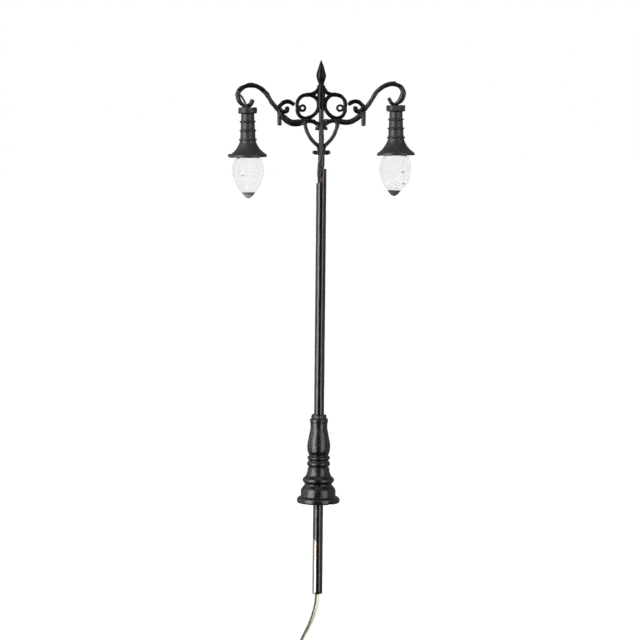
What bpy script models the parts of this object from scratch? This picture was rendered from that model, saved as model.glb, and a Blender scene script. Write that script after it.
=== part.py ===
"""A twin-arm model street lamp, 80 mm tall, as the separate pieces that it is put together from.

The frame: +Z up, +X to the right of the front, the front faces -Y. The origin is the centre of the
underside of the base, where the lamp stands on its board. The mast runs on below it, through a hole.
All the numbers below are millimetres; MM turns them into metres.
"""

import math

import bmesh
import bpy
from mathutils import Vector

MM = 0.001
OBJECT_NAME = "model_street_lamp"

# Driving dimensions
TIP_Z = 66.2  # the top of the spear
MAST_BOTTOM_Z = -13.8
MAST_TOP_Z = 50.05
MAST_R = 0.75
MAST_BORE_R = 0.55
ROD_R = 0.36
ARM_R = 0.33
SCROLL_R = 0.27
CURL_R = 0.3
HOOK_R = 0.28
PIN_R = 0.32
LAMP_WIRE_R = 0.075
LEAD_R = 0.15
SLEEVE_TUBE_R = 0.097  # the red insulating sleeve
LEAD_LENGTH = 200.0
LAMP_X = 11.1  # the axis of each lamp
GAP = 0.02  # between pieces that touch on the real lamp

# The mast's notch, where the lamp wires go in
NOTCH_FLOOR_Z = 47.9
NOTCH_FACING = 59.0  # degrees to the left of the front
NOTCH_DEPTH = 0.227  # from the axis to the flat of the notch

# The rod, its finial and the ladder bar
ROD_BOTTOM_Z, ROD_TOP_Z = 45.0, 61.3
SLEEVE_BOTTOM_Z, SLEEVE_TOP_Z = 59.0, 61.4
SLEEVE_R = 0.6
COLLAR_R = 0.62
COLLAR_BOTTOM_Z, COLLAR_TOP_Z = 52.1, 53.25
LADDER_Z, LADDER_HALF, LADDER_R, LADDER_EDGE = 52.46, 1.37, 0.34, 0.12
WIRE_SLOT_HALF = 0.36

# Inside the mast
SPLICE_TOP_Z, SPLICE_LENGTH, SPLICE_R, SPLICE_X = 43.4, 2.0, 0.22, 0.26
DARK_EXIT = (-0.2, 0.0)
YELLOW_EXIT = (0.12, 0.06)

# The two coils of the leads, side by side, and their tie
COIL_LAYERS, COIL_TURNS_ACROSS = 2, 8
TURN_SPACING, LAYER_SPACING = 0.34, 0.32
COIL_Z = -23.75
COIL_Y = 1.37  # the middle of each coil, in front of the lamp's plane and behind it
TIE_WIDTH, TIE_THICKNESS, TIE_BOLD, TIE_CORNER = 0.6, 0.18, 0.03, 0.12

# Profiles run down the outer side: (radius, height)
PEDESTAL = (
    (0.98, 13.28), (1.1, 13.24), (1.13, 13.12), (1.13, 12.72), (1.34, 12.6), (1.37, 12.38),
    (1.34, 12.15), (1.28, 11.9), (1.27, 11.1), (1.49, 10.1), (1.67, 9.1), (1.73, 8.45),
    (1.67, 7.8), (1.5, 7.3), (1.38, 7.15), (1.65, 6.95), (1.71, 6.76), (1.62, 6.52),
    (1.44, 6.35), (1.68, 6.1), (1.75, 5.85), (1.67, 5.6), (1.44, 5.42), (1.63, 5.22),
    (1.64, 4.75), (1.87, 4.1), (2.31, 3.65), (2.39, 3.4), (2.27, 3.12), (1.98, 2.85),
    (2.12, 2.6), (2.47, 2.2), (2.61, 1.88), (2.61, 0.95), (2.9, 0.88), (3.13, 0.74),
    (3.21, 0.5), (3.19, 0.12), (3.07, 0.0),
)
SPEAR = (
    (0.0, TIP_Z), (0.09, 66.05), (0.4, 65.15), (0.62, 64.45), (0.76, 63.9), (0.68, 63.45),
    (0.5, 62.9), (0.4, 62.6), (0.43, 62.2), (0.54, 61.75), (SLEEVE_R, SLEEVE_TOP_Z),
    (SLEEVE_R, SLEEVE_BOTTOM_Z),
)
SHADE_OUTSIDE = (
    (1.28, 59.3), (1.39, 59.2), (1.39, 58.5), (1.28, 58.4), (0.97, 58.36), (1.01, 57.34),
    (1.21, 57.28), (1.21, 57.12), (1.03, 57.06), (1.07, 56.04), (1.27, 55.98), (1.27, 55.82),
    (1.1, 55.76), (1.14, 54.7), (1.36, 54.63), (1.36, 54.47), (1.2, 54.4), (1.24, 54.15),
    (1.38, 53.8), (1.72, 53.2), (2.14, 52.75), (2.51, 52.45), (2.73, 52.33), (2.81, 52.2),
    (2.81, 51.88),
)
SHADE_INSIDE = (
    (2.5, 51.88), (2.3, 52.04), (1.53, 52.38), (1.53, 52.8), (1.0, 52.84), (1.0, 54.5),
    (0.52, 54.55), (0.52, 59.3),
)
GLOBE_OUTSIDE = (
    (1.5, 52.76), (1.5, 52.32), (1.78, 52.1), (1.92, 51.8), (2.17, 51.05), (2.32, 50.35),
    (2.35, 49.9), (2.29, 49.35), (2.0, 48.5), (1.62, 47.75), (0.95, 46.72), (0.0, 46.72),
)
GLOBE_INSIDE = (
    (0.0, 47.02), (0.78, 47.02), (1.38, 47.9), (1.72, 48.65), (2.0, 49.4), (2.06, 49.9),
    (2.03, 50.3), (1.88, 50.95), (1.6, 51.75), (1.24, 52.2), (1.24, 52.76),
)
GLOBE_TIP = ((0.0, 46.7), (0.94, 46.7), (0.66, 46.27), (0.34, 45.93), (0.14, 45.82), (0.0, 45.8))
LED_SIZE = (1.6, 0.8, 0.5)
LED_Z = 54.0

# Routes in the plane of the bracket: (distance from the axis, height)
ARM_ROUTE = (
    (0.84, 55.98), (0.62, 56.04), (0.47, 56.33), (0.62, 56.72), (1.35, 57.1), (2.1, 57.2),
    (3.1, 57.0), (4.15, 56.95), (5.05, 57.35), (5.85, 58.05), (6.4, 58.78), (7.0, 59.5),
    (7.55, 60.3), (8.25, 61.4), (9.2, 62.22), (10.5, 62.62), (11.65, 62.27), (12.3, 61.6),
    (12.4, 61.0), (12.15, 60.2), (11.7, 59.72), (11.1, 59.5), (10.5, 59.78), (10.25, 60.3),
)
ARM_STEPS = 2  # the points on the arm's line for each stretch of its route
ROOT_KNOT, FREE_KNOT, LOW_KNOT = 5, 17, 20  # where on the route the lamp wires leave it
VOLUTE_SHARE = 0.09  # the share of the arm, at its inner end, that thins to the volute
VOLUTE_R = 0.2
SCROLL_LOOP = (
    (2.1, 61.04), (2.85, 60.86), (3.42, 60.32), (3.62, 59.58), (3.52, 59.07), (3.56, 58.6),
    (3.3, 58.02), (2.85, 57.65), (2.3, 57.5), (1.65, 57.68), (1.12, 58.18), (0.74, 58.8),
    (0.6, 59.5), (0.72, 60.12), (1.08, 60.66), (1.55, 60.96),
)
TAIL_THIN, TAIL_THICK = 0.5, 0.96  # the tail's two ends, as shares of the scroll's radius
SCROLL_TAIL = ((0.32, 62.4), (0.5, 61.8), (0.95, 61.28), (1.55, 61.06), (2.1, 61.04))
EYELET_X, EYELET_Z, EYELET_RING_R, EYELET_WIRE_R, EYELET_STEPS = 2.79, 59.05, 0.41, 0.17, 12
CURL_ARCH = (
    (6.42, 58.75), (6.3, 59.2), (6.05, 59.5), (5.6, 59.9), (5.05, 60.04), (4.5, 59.87), (4.2, 59.62),
)
CURL_HOOK = ((6.3, 58.82), (5.95, 58.68), (5.55, 58.52), (5.22, 58.62), (5.06, 58.88), (5.12, 59.12))
PIN_X, PIN_BOTTOM_Z, PIN_TOP_Z = 6.28, 56.5, 58.25
HEART_ROUTE = ((2.33, 57.1), (2.37, 56.4), (2.05, 55.45), (1.58, 54.6), (0.95, 53.86), (0.5, 53.52))

# The free leads, from the mast's end to their coils: (x, y, z)
LEAD_DARK_ROUTE = (
    (-0.2, 0.0, -13.82), (-0.24, -0.01, -14.5), (-0.3, -0.03, -15.2), (-0.43, -0.06, -15.9),
    (-0.58, -0.08, -16.5), (-0.78, -0.1, -17.2), (-1.03, -0.12, -17.9), (-1.3, -0.14, -18.6),
    (-1.63, -0.16, -19.3), (-1.98, -0.17, -20.0), (-2.3, -0.18, -20.7), (-2.54, -0.18, -21.3),
    (-2.69, -0.18, -21.9), (-2.74, -0.18, -22.25), (-2.75, -0.18, -22.5),
)
LEAD_YELLOW_ROUTE = (
    (0.12, 0.06, -13.82), (0.11, 0.08, -14.5), (0.07, 0.11, -15.2), (-0.03, 0.13, -15.9),
    (-0.18, 0.14, -16.5), (-0.38, 0.15, -17.2), (-0.65, 0.16, -17.9), (-0.95, 0.17, -18.6),
    (-1.3, 0.18, -19.3), (-1.68, 0.18, -20.0), (-2.06, 0.18, -20.7), (-2.4, 0.18, -21.3),
    (-2.66, 0.18, -21.9), (-2.74, 0.18, -22.25), (-2.75, 0.18, -22.5),
)
COIL_X = LEAD_DARK_ROUTE[-1][0]  # where both leads run down onto their coils' outermost turn

# The lamp wires. Each lamp has two, and the four run down the rod side by side.
ROD_ANGLES = (-33.0, -11.0, 11.0, 33.0)  # their places round the rod, from the front towards +X
ROD_HEIGHTS = (55.6, 54.4, 53.2, 51.9)
TWIST, TWIST_HEIGHT = -45.0, 4.0  # they turn by this much below the ladder bar, over this height
TWIST_SHARES = (0.3, 0.6, 0.85, 1.0)
BORE_HEIGHTS = (46.5, ROD_BOTTOM_Z - 0.1)
ARM_CLEARANCE, ROD_CLEARANCE = 0.035, 0.028
WIRE_SPREAD = 12.5  # half the angle between two lamp wires round an arm
# The left wires' angle round the arm at each knot from ROOT_KNOT to FREE_KNOT. They run along its underside.
LEFT_ROLL = (0.0, 60.0, 72.0, 58.0, 26.0, 0.0, 0.0, 0.0, 0.0, 0.0, 0.0, 0.0, 0.0)
# From the lamp's LED up through its shade: (x from the lamp's axis, y from the bracket's plane, z)
IN_SHADE = ((0.5, 0.02, 54.34), (0.35, 0.2, 54.62), (0.1, 0.38, 55.2), (0.1, 0.4, 59.4))
# From each arm's inner end to the rod, and how far apart the two wires are at each of those places
LEFT_CROSSING = ((-0.9, -0.46, 56.82), (-0.52, -0.48, 56.6))
LEFT_APART = ((0.0, 0.0, 0.22), (0.06, 0.0, 0.24))
LEFT_LANDING_Z, LEFT_LANDING_APART = 56.2, 0.3
RIGHT_CROSSING = ((1.2, 0.44, 57.12), (0.76, 0.34, 57.2), (0.52, 0.05, 57.2), (0.47, -0.24, 57.08))
RIGHT_LANDING_Z, RIGHT_APART = 56.6, 0.19
ABOVE_SPLICES = ((-0.41, -0.06, 44.15), (-0.12, 0.12, 44.15), (-0.2, -0.26, 44.15), (0.15, -0.26, 44.15))
SPLICE_PITCH = 0.18  # between the two lamp wires that go into one splice


# Collections, materials and objects


def clear_scene():
    for old in list(bpy.data.objects):
        bpy.data.objects.remove(old, do_unlink=True)


def new_collection(name):
    made = bpy.data.collections.new(name)
    bpy.context.scene.collection.children.link(made)
    return made


def new_material(name, colour, roughness, metallic=0.0, alpha=1.0, transmission=0.0):
    material = bpy.data.materials.new(name)
    material.use_nodes = True
    shader = material.node_tree.nodes["Principled BSDF"]
    shader.inputs["Base Color"].default_value = (*colour, 1.0)
    shader.inputs["Roughness"].default_value = roughness
    shader.inputs["Metallic"].default_value = metallic
    shader.inputs["Alpha"].default_value = alpha
    shader.inputs["Transmission Weight"].default_value = transmission
    return material


def add_part(name, mesh, material):
    part = bpy.data.objects.new(name, mesh)
    mesh.materials.clear()
    mesh.materials.append(material)
    parts.objects.link(part)
    return part


def as_cutter(piece):
    """Moves a piece to the helpers, which are never part of the lamp."""
    for group in list(piece.users_collection):
        group.objects.unlink(piece)
    cutters.objects.link(piece)
    piece.hide_render = True
    piece.display_type = "WIRE"
    return piece


def boolean(piece, helper, operation):
    modifier = piece.modifiers.new(f"{operation.lower()} {helper.name}", "BOOLEAN")
    modifier.operation = operation
    modifier.object = helper
    modifier.solver = "EXACT"


# Shapes


def turned(name, profile, material, closed=False, steps=20, centre_x=0.0):
    """A profile of (radius, height) points turned about the vertical line at centre_x."""
    mesh = bpy.data.meshes.new(name)
    points = [(r * MM, 0.0, z * MM) for r, z in profile]
    edges = [(i, i + 1) for i in range(len(points) - 1)]
    if closed:
        edges.append((len(points) - 1, 0))
    mesh.from_pydata(points, edges, [])
    part = add_part(name, mesh, material)
    part.location.x = centre_x * MM
    screw = part.modifiers.new("turn", "SCREW")
    screw.steps = screw.render_steps = steps
    screw.use_merge_vertices = True
    screw.merge_threshold = 1e-6
    screw.use_smooth_shade = True
    return part


def catmull_rom(a, b, c, d, t):
    """A point between b and c, at the share t of the way, on a curve that passes through all four."""
    slope = c - a
    bend = 2 * a - 5 * b + 4 * c - d
    twist = 3 * b - a - 3 * c + d
    return 0.5 * (2 * b + slope * t + bend * t**2 + twist * t**3)


def smooth(route, per_span, cyclic=False):
    """Points on a smooth curve through the route's points, per_span of them for each stretch."""
    knots = [Vector(p) for p in route]
    if cyclic:
        knots = [knots[-1], *knots, knots[0], knots[1]]
    else:
        knots = [2 * knots[0] - knots[1], *knots, 2 * knots[-1] - knots[-2]]
    line = []
    for i in range(len(knots) - 3):
        line += [catmull_rom(*knots[i : i + 4], step / per_span) for step in range(per_span)]
    return line if cyclic else [*line, knots[-2]]


def wire(name, line, radius, material, cyclic=False, radii=None):
    """A round wire along a line of points. radii, where given, scales its radius at each point."""
    curve = bpy.data.curves.new(name, "CURVE")
    curve.dimensions = "3D"
    curve.fill_mode = "FULL"
    curve.bevel_depth = radius * MM
    curve.bevel_resolution = 2
    curve.use_fill_caps = True
    spline = curve.splines.new("POLY")
    spline.points.add(len(line) - 1)
    spline.use_cyclic_u = cyclic
    spline.use_smooth = True
    for i, (point, place) in enumerate(zip(spline.points, line)):
        point.co = (*(Vector(place) * MM), 1.0)
        point.radius = radii[i] if radii else 1.0
    curve.materials.append(material)
    part = bpy.data.objects.new(name, curve)
    parts.objects.link(part)
    return part


def to_mesh(piece):
    """The same piece as a mesh with its caps welded on, so that it can be cut, joined or be a cutter."""
    bpy.context.view_layer.update()
    evaluated = piece.evaluated_get(bpy.context.evaluated_depsgraph_get())
    mesh = bpy.data.meshes.new_from_object(evaluated)
    shape = bmesh.new()
    shape.from_mesh(mesh)
    bmesh.ops.remove_doubles(shape, verts=shape.verts, dist=1e-7)
    shape.to_mesh(mesh)
    shape.free()
    name, placed = piece.name, piece.matrix_world.copy()
    material = piece.data.materials[0]
    bpy.data.objects.remove(piece)
    part = add_part(name, mesh, material)
    part.matrix_world = placed
    mesh.shade_smooth()
    mesh.set_sharp_from_angle(angle=math.radians(50))
    return part


def cylinder(name, x, y, z_low, z_high, radius, material, sides=24, chamfer=0.0):
    mesh = bpy.data.meshes.new(name)
    shape = bmesh.new()
    r, depth = radius * MM, (z_high - z_low) * MM
    bmesh.ops.create_cone(shape, cap_ends=True, segments=sides, radius1=r, radius2=r, depth=depth)
    shape.to_mesh(mesh)
    shape.free()
    mesh.shade_smooth()
    mesh.set_sharp_from_angle(angle=math.radians(50))
    part = add_part(name, mesh, material)
    part.location = Vector((x, y, (z_low + z_high) / 2)) * MM
    if chamfer:
        bevel = part.modifiers.new("chamfer", "BEVEL")
        bevel.width = chamfer * MM
        bevel.segments = 2
        bevel.limit_method = "ANGLE"
        bevel.angle_limit = math.radians(60)
    return part


def block(name, low, high, material):
    """A box between two corners, in millimetres."""
    mesh = bpy.data.meshes.new(name)
    shape = bmesh.new()
    bmesh.ops.create_cube(shape, size=1.0)
    size = Vector(high) - Vector(low)
    bmesh.ops.scale(shape, vec=size * MM, verts=shape.verts)
    shape.to_mesh(mesh)
    shape.free()
    part = add_part(name, mesh, material)
    part.location = (Vector(low) + Vector(high)) / 2 * MM
    return part


def outline_plate(name, outlines, half_depth, material):
    """Flat 2D outlines, the second one a hole in the first, given a depth along their normal."""
    curve = bpy.data.curves.new(name, "CURVE")
    curve.dimensions = "2D"
    curve.fill_mode = "BOTH"
    curve.extrude = half_depth * MM
    for outline in outlines:
        spline = curve.splines.new("POLY")
        spline.points.add(len(outline) - 1)
        spline.use_cyclic_u = True
        for point, place in zip(spline.points, outline):
            point.co = (place[0] * MM, place[1] * MM, 0.0, 1.0)
    curve.materials.append(material)
    part = bpy.data.objects.new(name, curve)
    parts.objects.link(part)
    return part


def rounded_rectangle(half_x, low_y, high_y, corner, per_corner=4):
    points = []
    centres = (
        (half_x - corner, high_y - corner), (corner - half_x, high_y - corner),
        (corner - half_x, low_y + corner), (half_x - corner, low_y + corner),
    )
    for quarter, (x, y) in enumerate(centres):
        for step in range(per_corner + 1):
            angle = math.radians(90) * (quarter + step / per_corner)
            points.append((x + corner * math.cos(angle), y + corner * math.sin(angle)))
    return points


# The mast, its base and the rod


def build_mast():
    outside = ((MAST_R, MAST_TOP_Z), (MAST_R, MAST_BOTTOM_Z))
    profile = (*outside, (MAST_BORE_R, MAST_BOTTOM_Z), (MAST_BORE_R, MAST_TOP_Z))
    tube = turned("mast_tube", profile, satin_black, closed=True, steps=32)
    wide = 2.0
    low, high = (-wide, -wide, NOTCH_FLOOR_Z), (wide, -NOTCH_DEPTH, MAST_TOP_Z + 1)
    notch = block("notch_cutter", low, high, satin_black)
    turn = math.radians(-NOTCH_FACING)
    centre = notch.location.copy()
    notch.location = (-centre.y * math.sin(turn), centre.y * math.cos(turn), centre.z)
    notch.rotation_euler.z = turn
    boolean(tube, as_cutter(notch), "DIFFERENCE")


def build_pedestal():
    bore = MAST_R + GAP
    profile = (*PEDESTAL, (bore, 0.0), (bore, PEDESTAL[0][1]))
    turned("base_pedestal", profile, satin_plastic, closed=True, steps=28)


def build_rod():
    cylinder("core_rod", 0, 0, ROD_BOTTOM_Z, ROD_TOP_Z, ROD_R, gloss_black, chamfer=0.06)
    cutter = cylinder("rod_cutter", 0, 0, ROD_BOTTOM_Z, ROD_TOP_Z, ROD_R + GAP, gloss_black)
    return as_cutter(cutter)


def build_finial():
    socket = ((ROD_R + GAP, SLEEVE_BOTTOM_Z), (ROD_R + GAP, SLEEVE_TOP_Z), (0.0, SLEEVE_TOP_Z))
    turned("spear_finial", (*SPEAR, *socket), gloss_black, steps=20)
    grown = [(r + (GAP if r else 0.0), z) for r, z in SPEAR]
    lowest = SLEEVE_BOTTOM_Z - GAP
    cutter_profile = (*grown[:-1], (SLEEVE_R + GAP, lowest), (0.0, lowest))
    return as_cutter(to_mesh(turned("finial_cutter", cutter_profile, gloss_black, steps=20)))


def build_ladder_bar(rod_cutter):
    collar = cylinder("ladder_bar", 0, 0, COLLAR_BOTTOM_Z, COLLAR_TOP_Z, COLLAR_R, gloss_black)
    shoulder = LADDER_HALF - LADDER_EDGE
    ends = [(x, 0.0, LADDER_Z) for x in (-LADDER_HALF, -shoulder, shoulder, LADDER_HALF)]
    bar = wire("bar_helper", ends, LADDER_R, gloss_black, radii=(0.6, 1.0, 1.0, 0.6))
    boolean(collar, as_cutter(to_mesh(bar)), "UNION")
    boolean(collar, rod_cutter, "DIFFERENCE")
    low, high = (-WIRE_SLOT_HALF, -2.0, COLLAR_BOTTOM_Z - 1), (WIRE_SLOT_HALF, 0.0, COLLAR_TOP_Z + 1)
    boolean(collar, as_cutter(block("wire_slot_cutter", low, high, gloss_black)), "DIFFERENCE")


# The bracket


def in_plane(route, side):
    """A route of the bracket as points in space, on the left (side -1) or on the right (side 1)."""
    return [(side * x, 0.0, z) for x, z in route]


def arm_line(side):
    return smooth(in_plane(ARM_ROUTE, side), ARM_STEPS)


def arm_radii(count):
    """The arm's radius at each point: thinner in the volute at its inner end."""
    least = VOLUTE_R / ARM_R
    return [min(1.0, least + (1 - least) * i / (count * VOLUTE_SHARE)) for i in range(count)]


def build_arm(word, side, rod_cutter):
    line = arm_line(side)
    radii = arm_radii(len(line))
    arm = to_mesh(wire(f"arm_{word}", line, ARM_R, gloss_black, radii=radii))
    boolean(arm, rod_cutter, "DIFFERENCE")
    grown = [r + GAP / ARM_R for r in radii]
    return as_cutter(to_mesh(wire(f"arm_cutter_{word}", line, ARM_R, gloss_black, radii=grown)))


def eyelet_point(angle):
    return (EYELET_X + EYELET_RING_R * math.cos(angle), EYELET_Z + EYELET_RING_R * math.sin(angle))


def build_scroll(word, side, arm_cutter, finial_cutter):
    loop = smooth(in_plane(SCROLL_LOOP, side), 2, cyclic=True)
    scroll = to_mesh(wire(f"scroll_{word}", loop, SCROLL_R, gloss_black, cyclic=True))
    tail_line = smooth(in_plane(SCROLL_TAIL, side), 2)
    last = len(tail_line) - 1
    thinning = [TAIL_THIN + (TAIL_THICK - TAIL_THIN) * i / last for i in range(last + 1)]
    tail = wire(f"tail_helper_{word}", tail_line, SCROLL_R, gloss_black, radii=thinning)
    boolean(scroll, as_cutter(to_mesh(tail)), "UNION")
    turns = [step * math.tau / EYELET_STEPS for step in range(EYELET_STEPS)]
    eyelet_line = in_plane([eyelet_point(turn) for turn in turns], side)
    eyelet = wire(f"eyelet_helper_{word}", eyelet_line, EYELET_WIRE_R, gloss_black, cyclic=True)
    boolean(scroll, as_cutter(to_mesh(eyelet)), "UNION")
    boolean(scroll, arm_cutter, "DIFFERENCE")
    boolean(scroll, finial_cutter, "DIFFERENCE")


def build_curl(word, side, arm_cutter):
    arch_line = smooth(in_plane(CURL_ARCH, side), 2)
    curl = to_mesh(wire(f"curl_{word}", arch_line, CURL_R, gloss_black))
    hook = wire(f"hook_helper_{word}", smooth(in_plane(CURL_HOOK, side), 2), HOOK_R, gloss_black)
    boolean(curl, as_cutter(to_mesh(hook)), "UNION")
    boolean(curl, arm_cutter, "DIFFERENCE")


def build_pin(word, side, arm_cutter):
    name = f"drop_pin_{word}"
    pin = cylinder(name, side * PIN_X, 0, PIN_BOTTOM_Z, PIN_TOP_Z, PIN_R, gloss_black, sides=14)
    boolean(pin, arm_cutter, "DIFFERENCE")


def build_heart(word, side, arm_cutter, rod_cutter):
    line = smooth(in_plane(HEART_ROUTE, side), 3)
    heart = to_mesh(wire(f"heart_{word}", line, SCROLL_R, gloss_black))
    boolean(heart, arm_cutter, "DIFFERENCE")
    boolean(heart, rod_cutter, "DIFFERENCE")


# The lamps


def build_lamp(word, side, arm_cutter):
    x = side * LAMP_X
    shade = turned(f"shade_{word}", (*SHADE_OUTSIDE, *SHADE_INSIDE), satin_plastic, closed=True, centre_x=x)
    boolean(shade, arm_cutter, "DIFFERENCE")
    turned(f"globe_{word}", (*GLOBE_INSIDE, *GLOBE_OUTSIDE), clear_plastic, centre_x=x)
    turned(f"globe_tip_{word}", GLOBE_TIP, satin_plastic, centre_x=x)
    half = Vector(LED_SIZE) / 2
    centre = Vector((x, 0.0, LED_Z))
    led = block(f"led_{word}", centre - half, centre + half, led_white)
    bevel = led.modifiers.new("edges", "BEVEL")
    bevel.width = 0.08 * MM
    bevel.segments = 1


# The wiring


def beside_arm(line, radius, angles):
    """Points beside an arm's line, at an angle round it for each: 0 is in front.

    90 is below the left arm and above the right one.
    """
    placed = []
    for i, (place, angle) in enumerate(zip(line, angles)):
        ahead = line[min(i + 1, len(line) - 1)] - line[max(i - 1, 0)]
        normal = Vector((-ahead.z, 0.0, ahead.x)).normalized()
        turn = math.radians(angle)
        placed.append(place + radius * (math.sin(turn) * normal + Vector((0.0, -math.cos(turn), 0.0))))
    return placed


def beside_rod(angle, z):
    """A lamp wire's place beside the rod. The angle is from the front, towards +X."""
    turn = math.radians(angle)
    radius = ROD_R + LAMP_WIRE_R + ROD_CLEARANCE
    return Vector((radius * math.sin(turn), -radius * math.cos(turn), z))


def along_arm(side, first):
    """One lamp wire's places along its arm, from the lamp inwards. The left arm's wires run in front of it
    and along its underside, the right arm's behind it.
    """
    line = arm_line(side)
    apart = WIRE_SPREAD if first else -WIRE_SPREAD
    if side < 0:
        start, end = ROOT_KNOT * ARM_STEPS, FREE_KNOT * ARM_STEPS
        angles = []
        for i in range(end - start + 1):
            before, share = divmod(i, ARM_STEPS)
            after = min(before + 1, len(LEFT_ROLL) - 1)
            roll = LEFT_ROLL[before] + (LEFT_ROLL[after] - LEFT_ROLL[before]) * share / ARM_STEPS
            angles.append(apart + roll)
    else:
        start, end = ROOT_KNOT * ARM_STEPS, LOW_KNOT * ARM_STEPS
        angles = [180.0 - apart] * (end - start + 1)
    whole = [0.0] * start + angles + [0.0] * (len(line) - end - 1)
    beside = beside_arm(line, ARM_R + LAMP_WIRE_R + ARM_CLEARANCE, whole)
    return beside[start : end + 1][::-1]


def onto_rod(side, place):
    """From the arm's inner end to the front of the rod. Each wire arrives a little above the next one."""
    if side < 0:
        crossing = [Vector(p) + place * Vector(step) for p, step in zip(LEFT_CROSSING, LEFT_APART)]
        return [*crossing, beside_rod(ROD_ANGLES[place], LEFT_LANDING_Z + LEFT_LANDING_APART * place)]
    lift = RIGHT_APART * (3 - place)
    crossing = [Vector((x, y, z + lift)) for x, y, z in RIGHT_CROSSING]
    return [*crossing, beside_rod(ROD_ANGLES[place], RIGHT_LANDING_Z + lift)]


def lamp_wire_line(side, place):
    """One lamp wire's line, from the LED to its splice. place is 0 to 3, from left to right on the rod."""
    first = place % 2 == 0
    across = 1.0 if first else -1.0
    in_shade = [Vector((side * LAMP_X + across * x, side * y, z)) for x, y, z in IN_SHADE]
    angle = ROD_ANGLES[place]
    down_rod = [beside_rod(angle, z) for z in ROD_HEIGHTS]
    turning = []
    for share in TWIST_SHARES:
        turning.append(beside_rod(angle + TWIST * share, ROD_HEIGHTS[-1] - TWIST_HEIGHT * share))
    down_bore = [beside_rod(angle + TWIST, z) for z in BORE_HEIGHTS]
    splice_x = -SPLICE_X if first else SPLICE_X
    end_x = splice_x + (SPLICE_PITCH / 2 if side > 0 else -SPLICE_PITCH / 2)
    end = (Vector(ABOVE_SPLICES[place]), Vector((end_x, 0.0, SPLICE_TOP_Z + 0.05)))
    on_bracket = [*along_arm(side, first), *onto_rod(side, place)]
    return [*in_shade, *on_bracket, *down_rod, *turning, *down_bore, *end]


def build_lamp_wires():
    lines = {}
    for place, (word, letter, side) in enumerate(
        (("left", "a", -1), ("left", "b", -1), ("right", "a", 1), ("right", "b", 1))
    ):
        lines[place] = lamp_wire_line(side, place)
        wire(f"lamp_wire_{word}_{letter}", lines[place], LAMP_WIRE_R, wire_black)
    return lines


def build_red_sleeve(wire_line):
    """A short insulating sleeve on the front wire, just inside the mast's notch."""
    inside = [p for p in wire_line if NOTCH_FLOOR_Z - 0.4 < p.z < NOTCH_FLOOR_Z + 1.9]
    top, bottom = inside[0], inside[-1]
    step = (bottom - top) / (bottom.z - top.z)
    line = [top + step * (z - top.z) for z in (NOTCH_FLOOR_Z + 1.15, NOTCH_FLOOR_Z + 0.1)]
    longer = [line[0] + step * 0.5, line[1] - step * 0.5]
    sleeve = to_mesh(wire("red_sleeve", line, SLEEVE_TUBE_R, sleeve_red))
    bore = to_mesh(wire("sleeve_bore_cutter", longer, LAMP_WIRE_R + 0.01, sleeve_red))
    boolean(sleeve, as_cutter(bore), "DIFFERENCE")


def build_feed(word, exit_xy, splice_side, material):
    splice_x = splice_side * SPLICE_X
    low = SPLICE_TOP_Z - SPLICE_LENGTH
    name = f"splice_{word}"
    cylinder(name, splice_x, 0, low, SPLICE_TOP_Z, SPLICE_R, shrink_black, sides=12, chamfer=0.05)
    x, y = exit_xy
    knots = (
        (splice_x, 0.0, low - GAP), (splice_x, 0.0, low - 2), (x, y, low - 10), (x, y, 15.0),
        (x, y, MAST_BOTTOM_Z + 3), (x, y, MAST_BOTTOM_Z + GAP),
    )
    wire(f"feed_wire_{word}", smooth(knots, 3), LEAD_R, material)


# The free leads and their coils


def line_length(line):
    return sum((b - a).length for a, b in zip(line, line[1:]))


def coil_radii(length):
    """A coil's inner and outer radius when it holds this length: whole layers, then one turn on top."""
    turns = COIL_LAYERS * COIL_TURNS_ACROSS
    steps = COIL_TURNS_ACROSS * sum(range(COIL_LAYERS)) + COIL_LAYERS
    first = (length / math.tau - LAYER_SPACING * steps) / (turns + 1)
    return first - LEAD_R, first + COIL_LAYERS * LAYER_SPACING + LEAD_R


def coil_half_width():
    return (COIL_TURNS_ACROSS - 1) / 2 * TURN_SPACING + LEAD_R


def build_lead(word, route, material, coil_y):
    line = smooth([Vector(p) for p in route], 2)
    wire(f"lead_{word}", line, LEAD_R, material)
    inner, outer = coil_radii(LEAD_LENGTH - line_length(line))
    inner -= GAP / 2
    outer += GAP
    half = coil_half_width() + GAP / 2
    edge = LEAD_R
    profile = (
        (outer - edge, half), (outer, half - edge), (outer, edge - half), (outer - edge, -half),
        (inner + edge, -half), (inner, edge - half), (inner, half - edge), (inner + edge, half),
    )
    ring = turned(f"coil_{word}", profile, material, closed=True, steps=28)
    ring.rotation_euler.x = math.radians(90)
    centre_x = COIL_X + outer - GAP - LEAD_R
    ring.location = Vector((centre_x, coil_y, COIL_Z)) * MM
    return centre_x, inner, outer


def build_tie(centre_x, inner, outer):
    """A flat loop round both coils, at the bottom, through their middles."""
    half_y = COIL_Y + coil_half_width() + GAP / 2 + TIE_BOLD
    high = -math.sqrt(inner**2 - (TIE_WIDTH / 2) ** 2) + TIE_BOLD
    low = -outer - TIE_BOLD
    t = TIE_THICKNESS
    outlines = (
        rounded_rectangle(half_y + t, low - t, high + t, TIE_CORNER + t),
        rounded_rectangle(half_y, low, high, TIE_CORNER),
    )
    tie = outline_plate("lead_tie", outlines, TIE_WIDTH / 2, tie_black)
    tie = to_mesh(tie)
    tie.rotation_euler = (math.radians(90), 0.0, math.radians(90))
    tie.location = Vector((centre_x, 0.0, COIL_Z)) * MM


clear_scene()
parts = new_collection(OBJECT_NAME)
cutters = new_collection("cutters")

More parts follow.
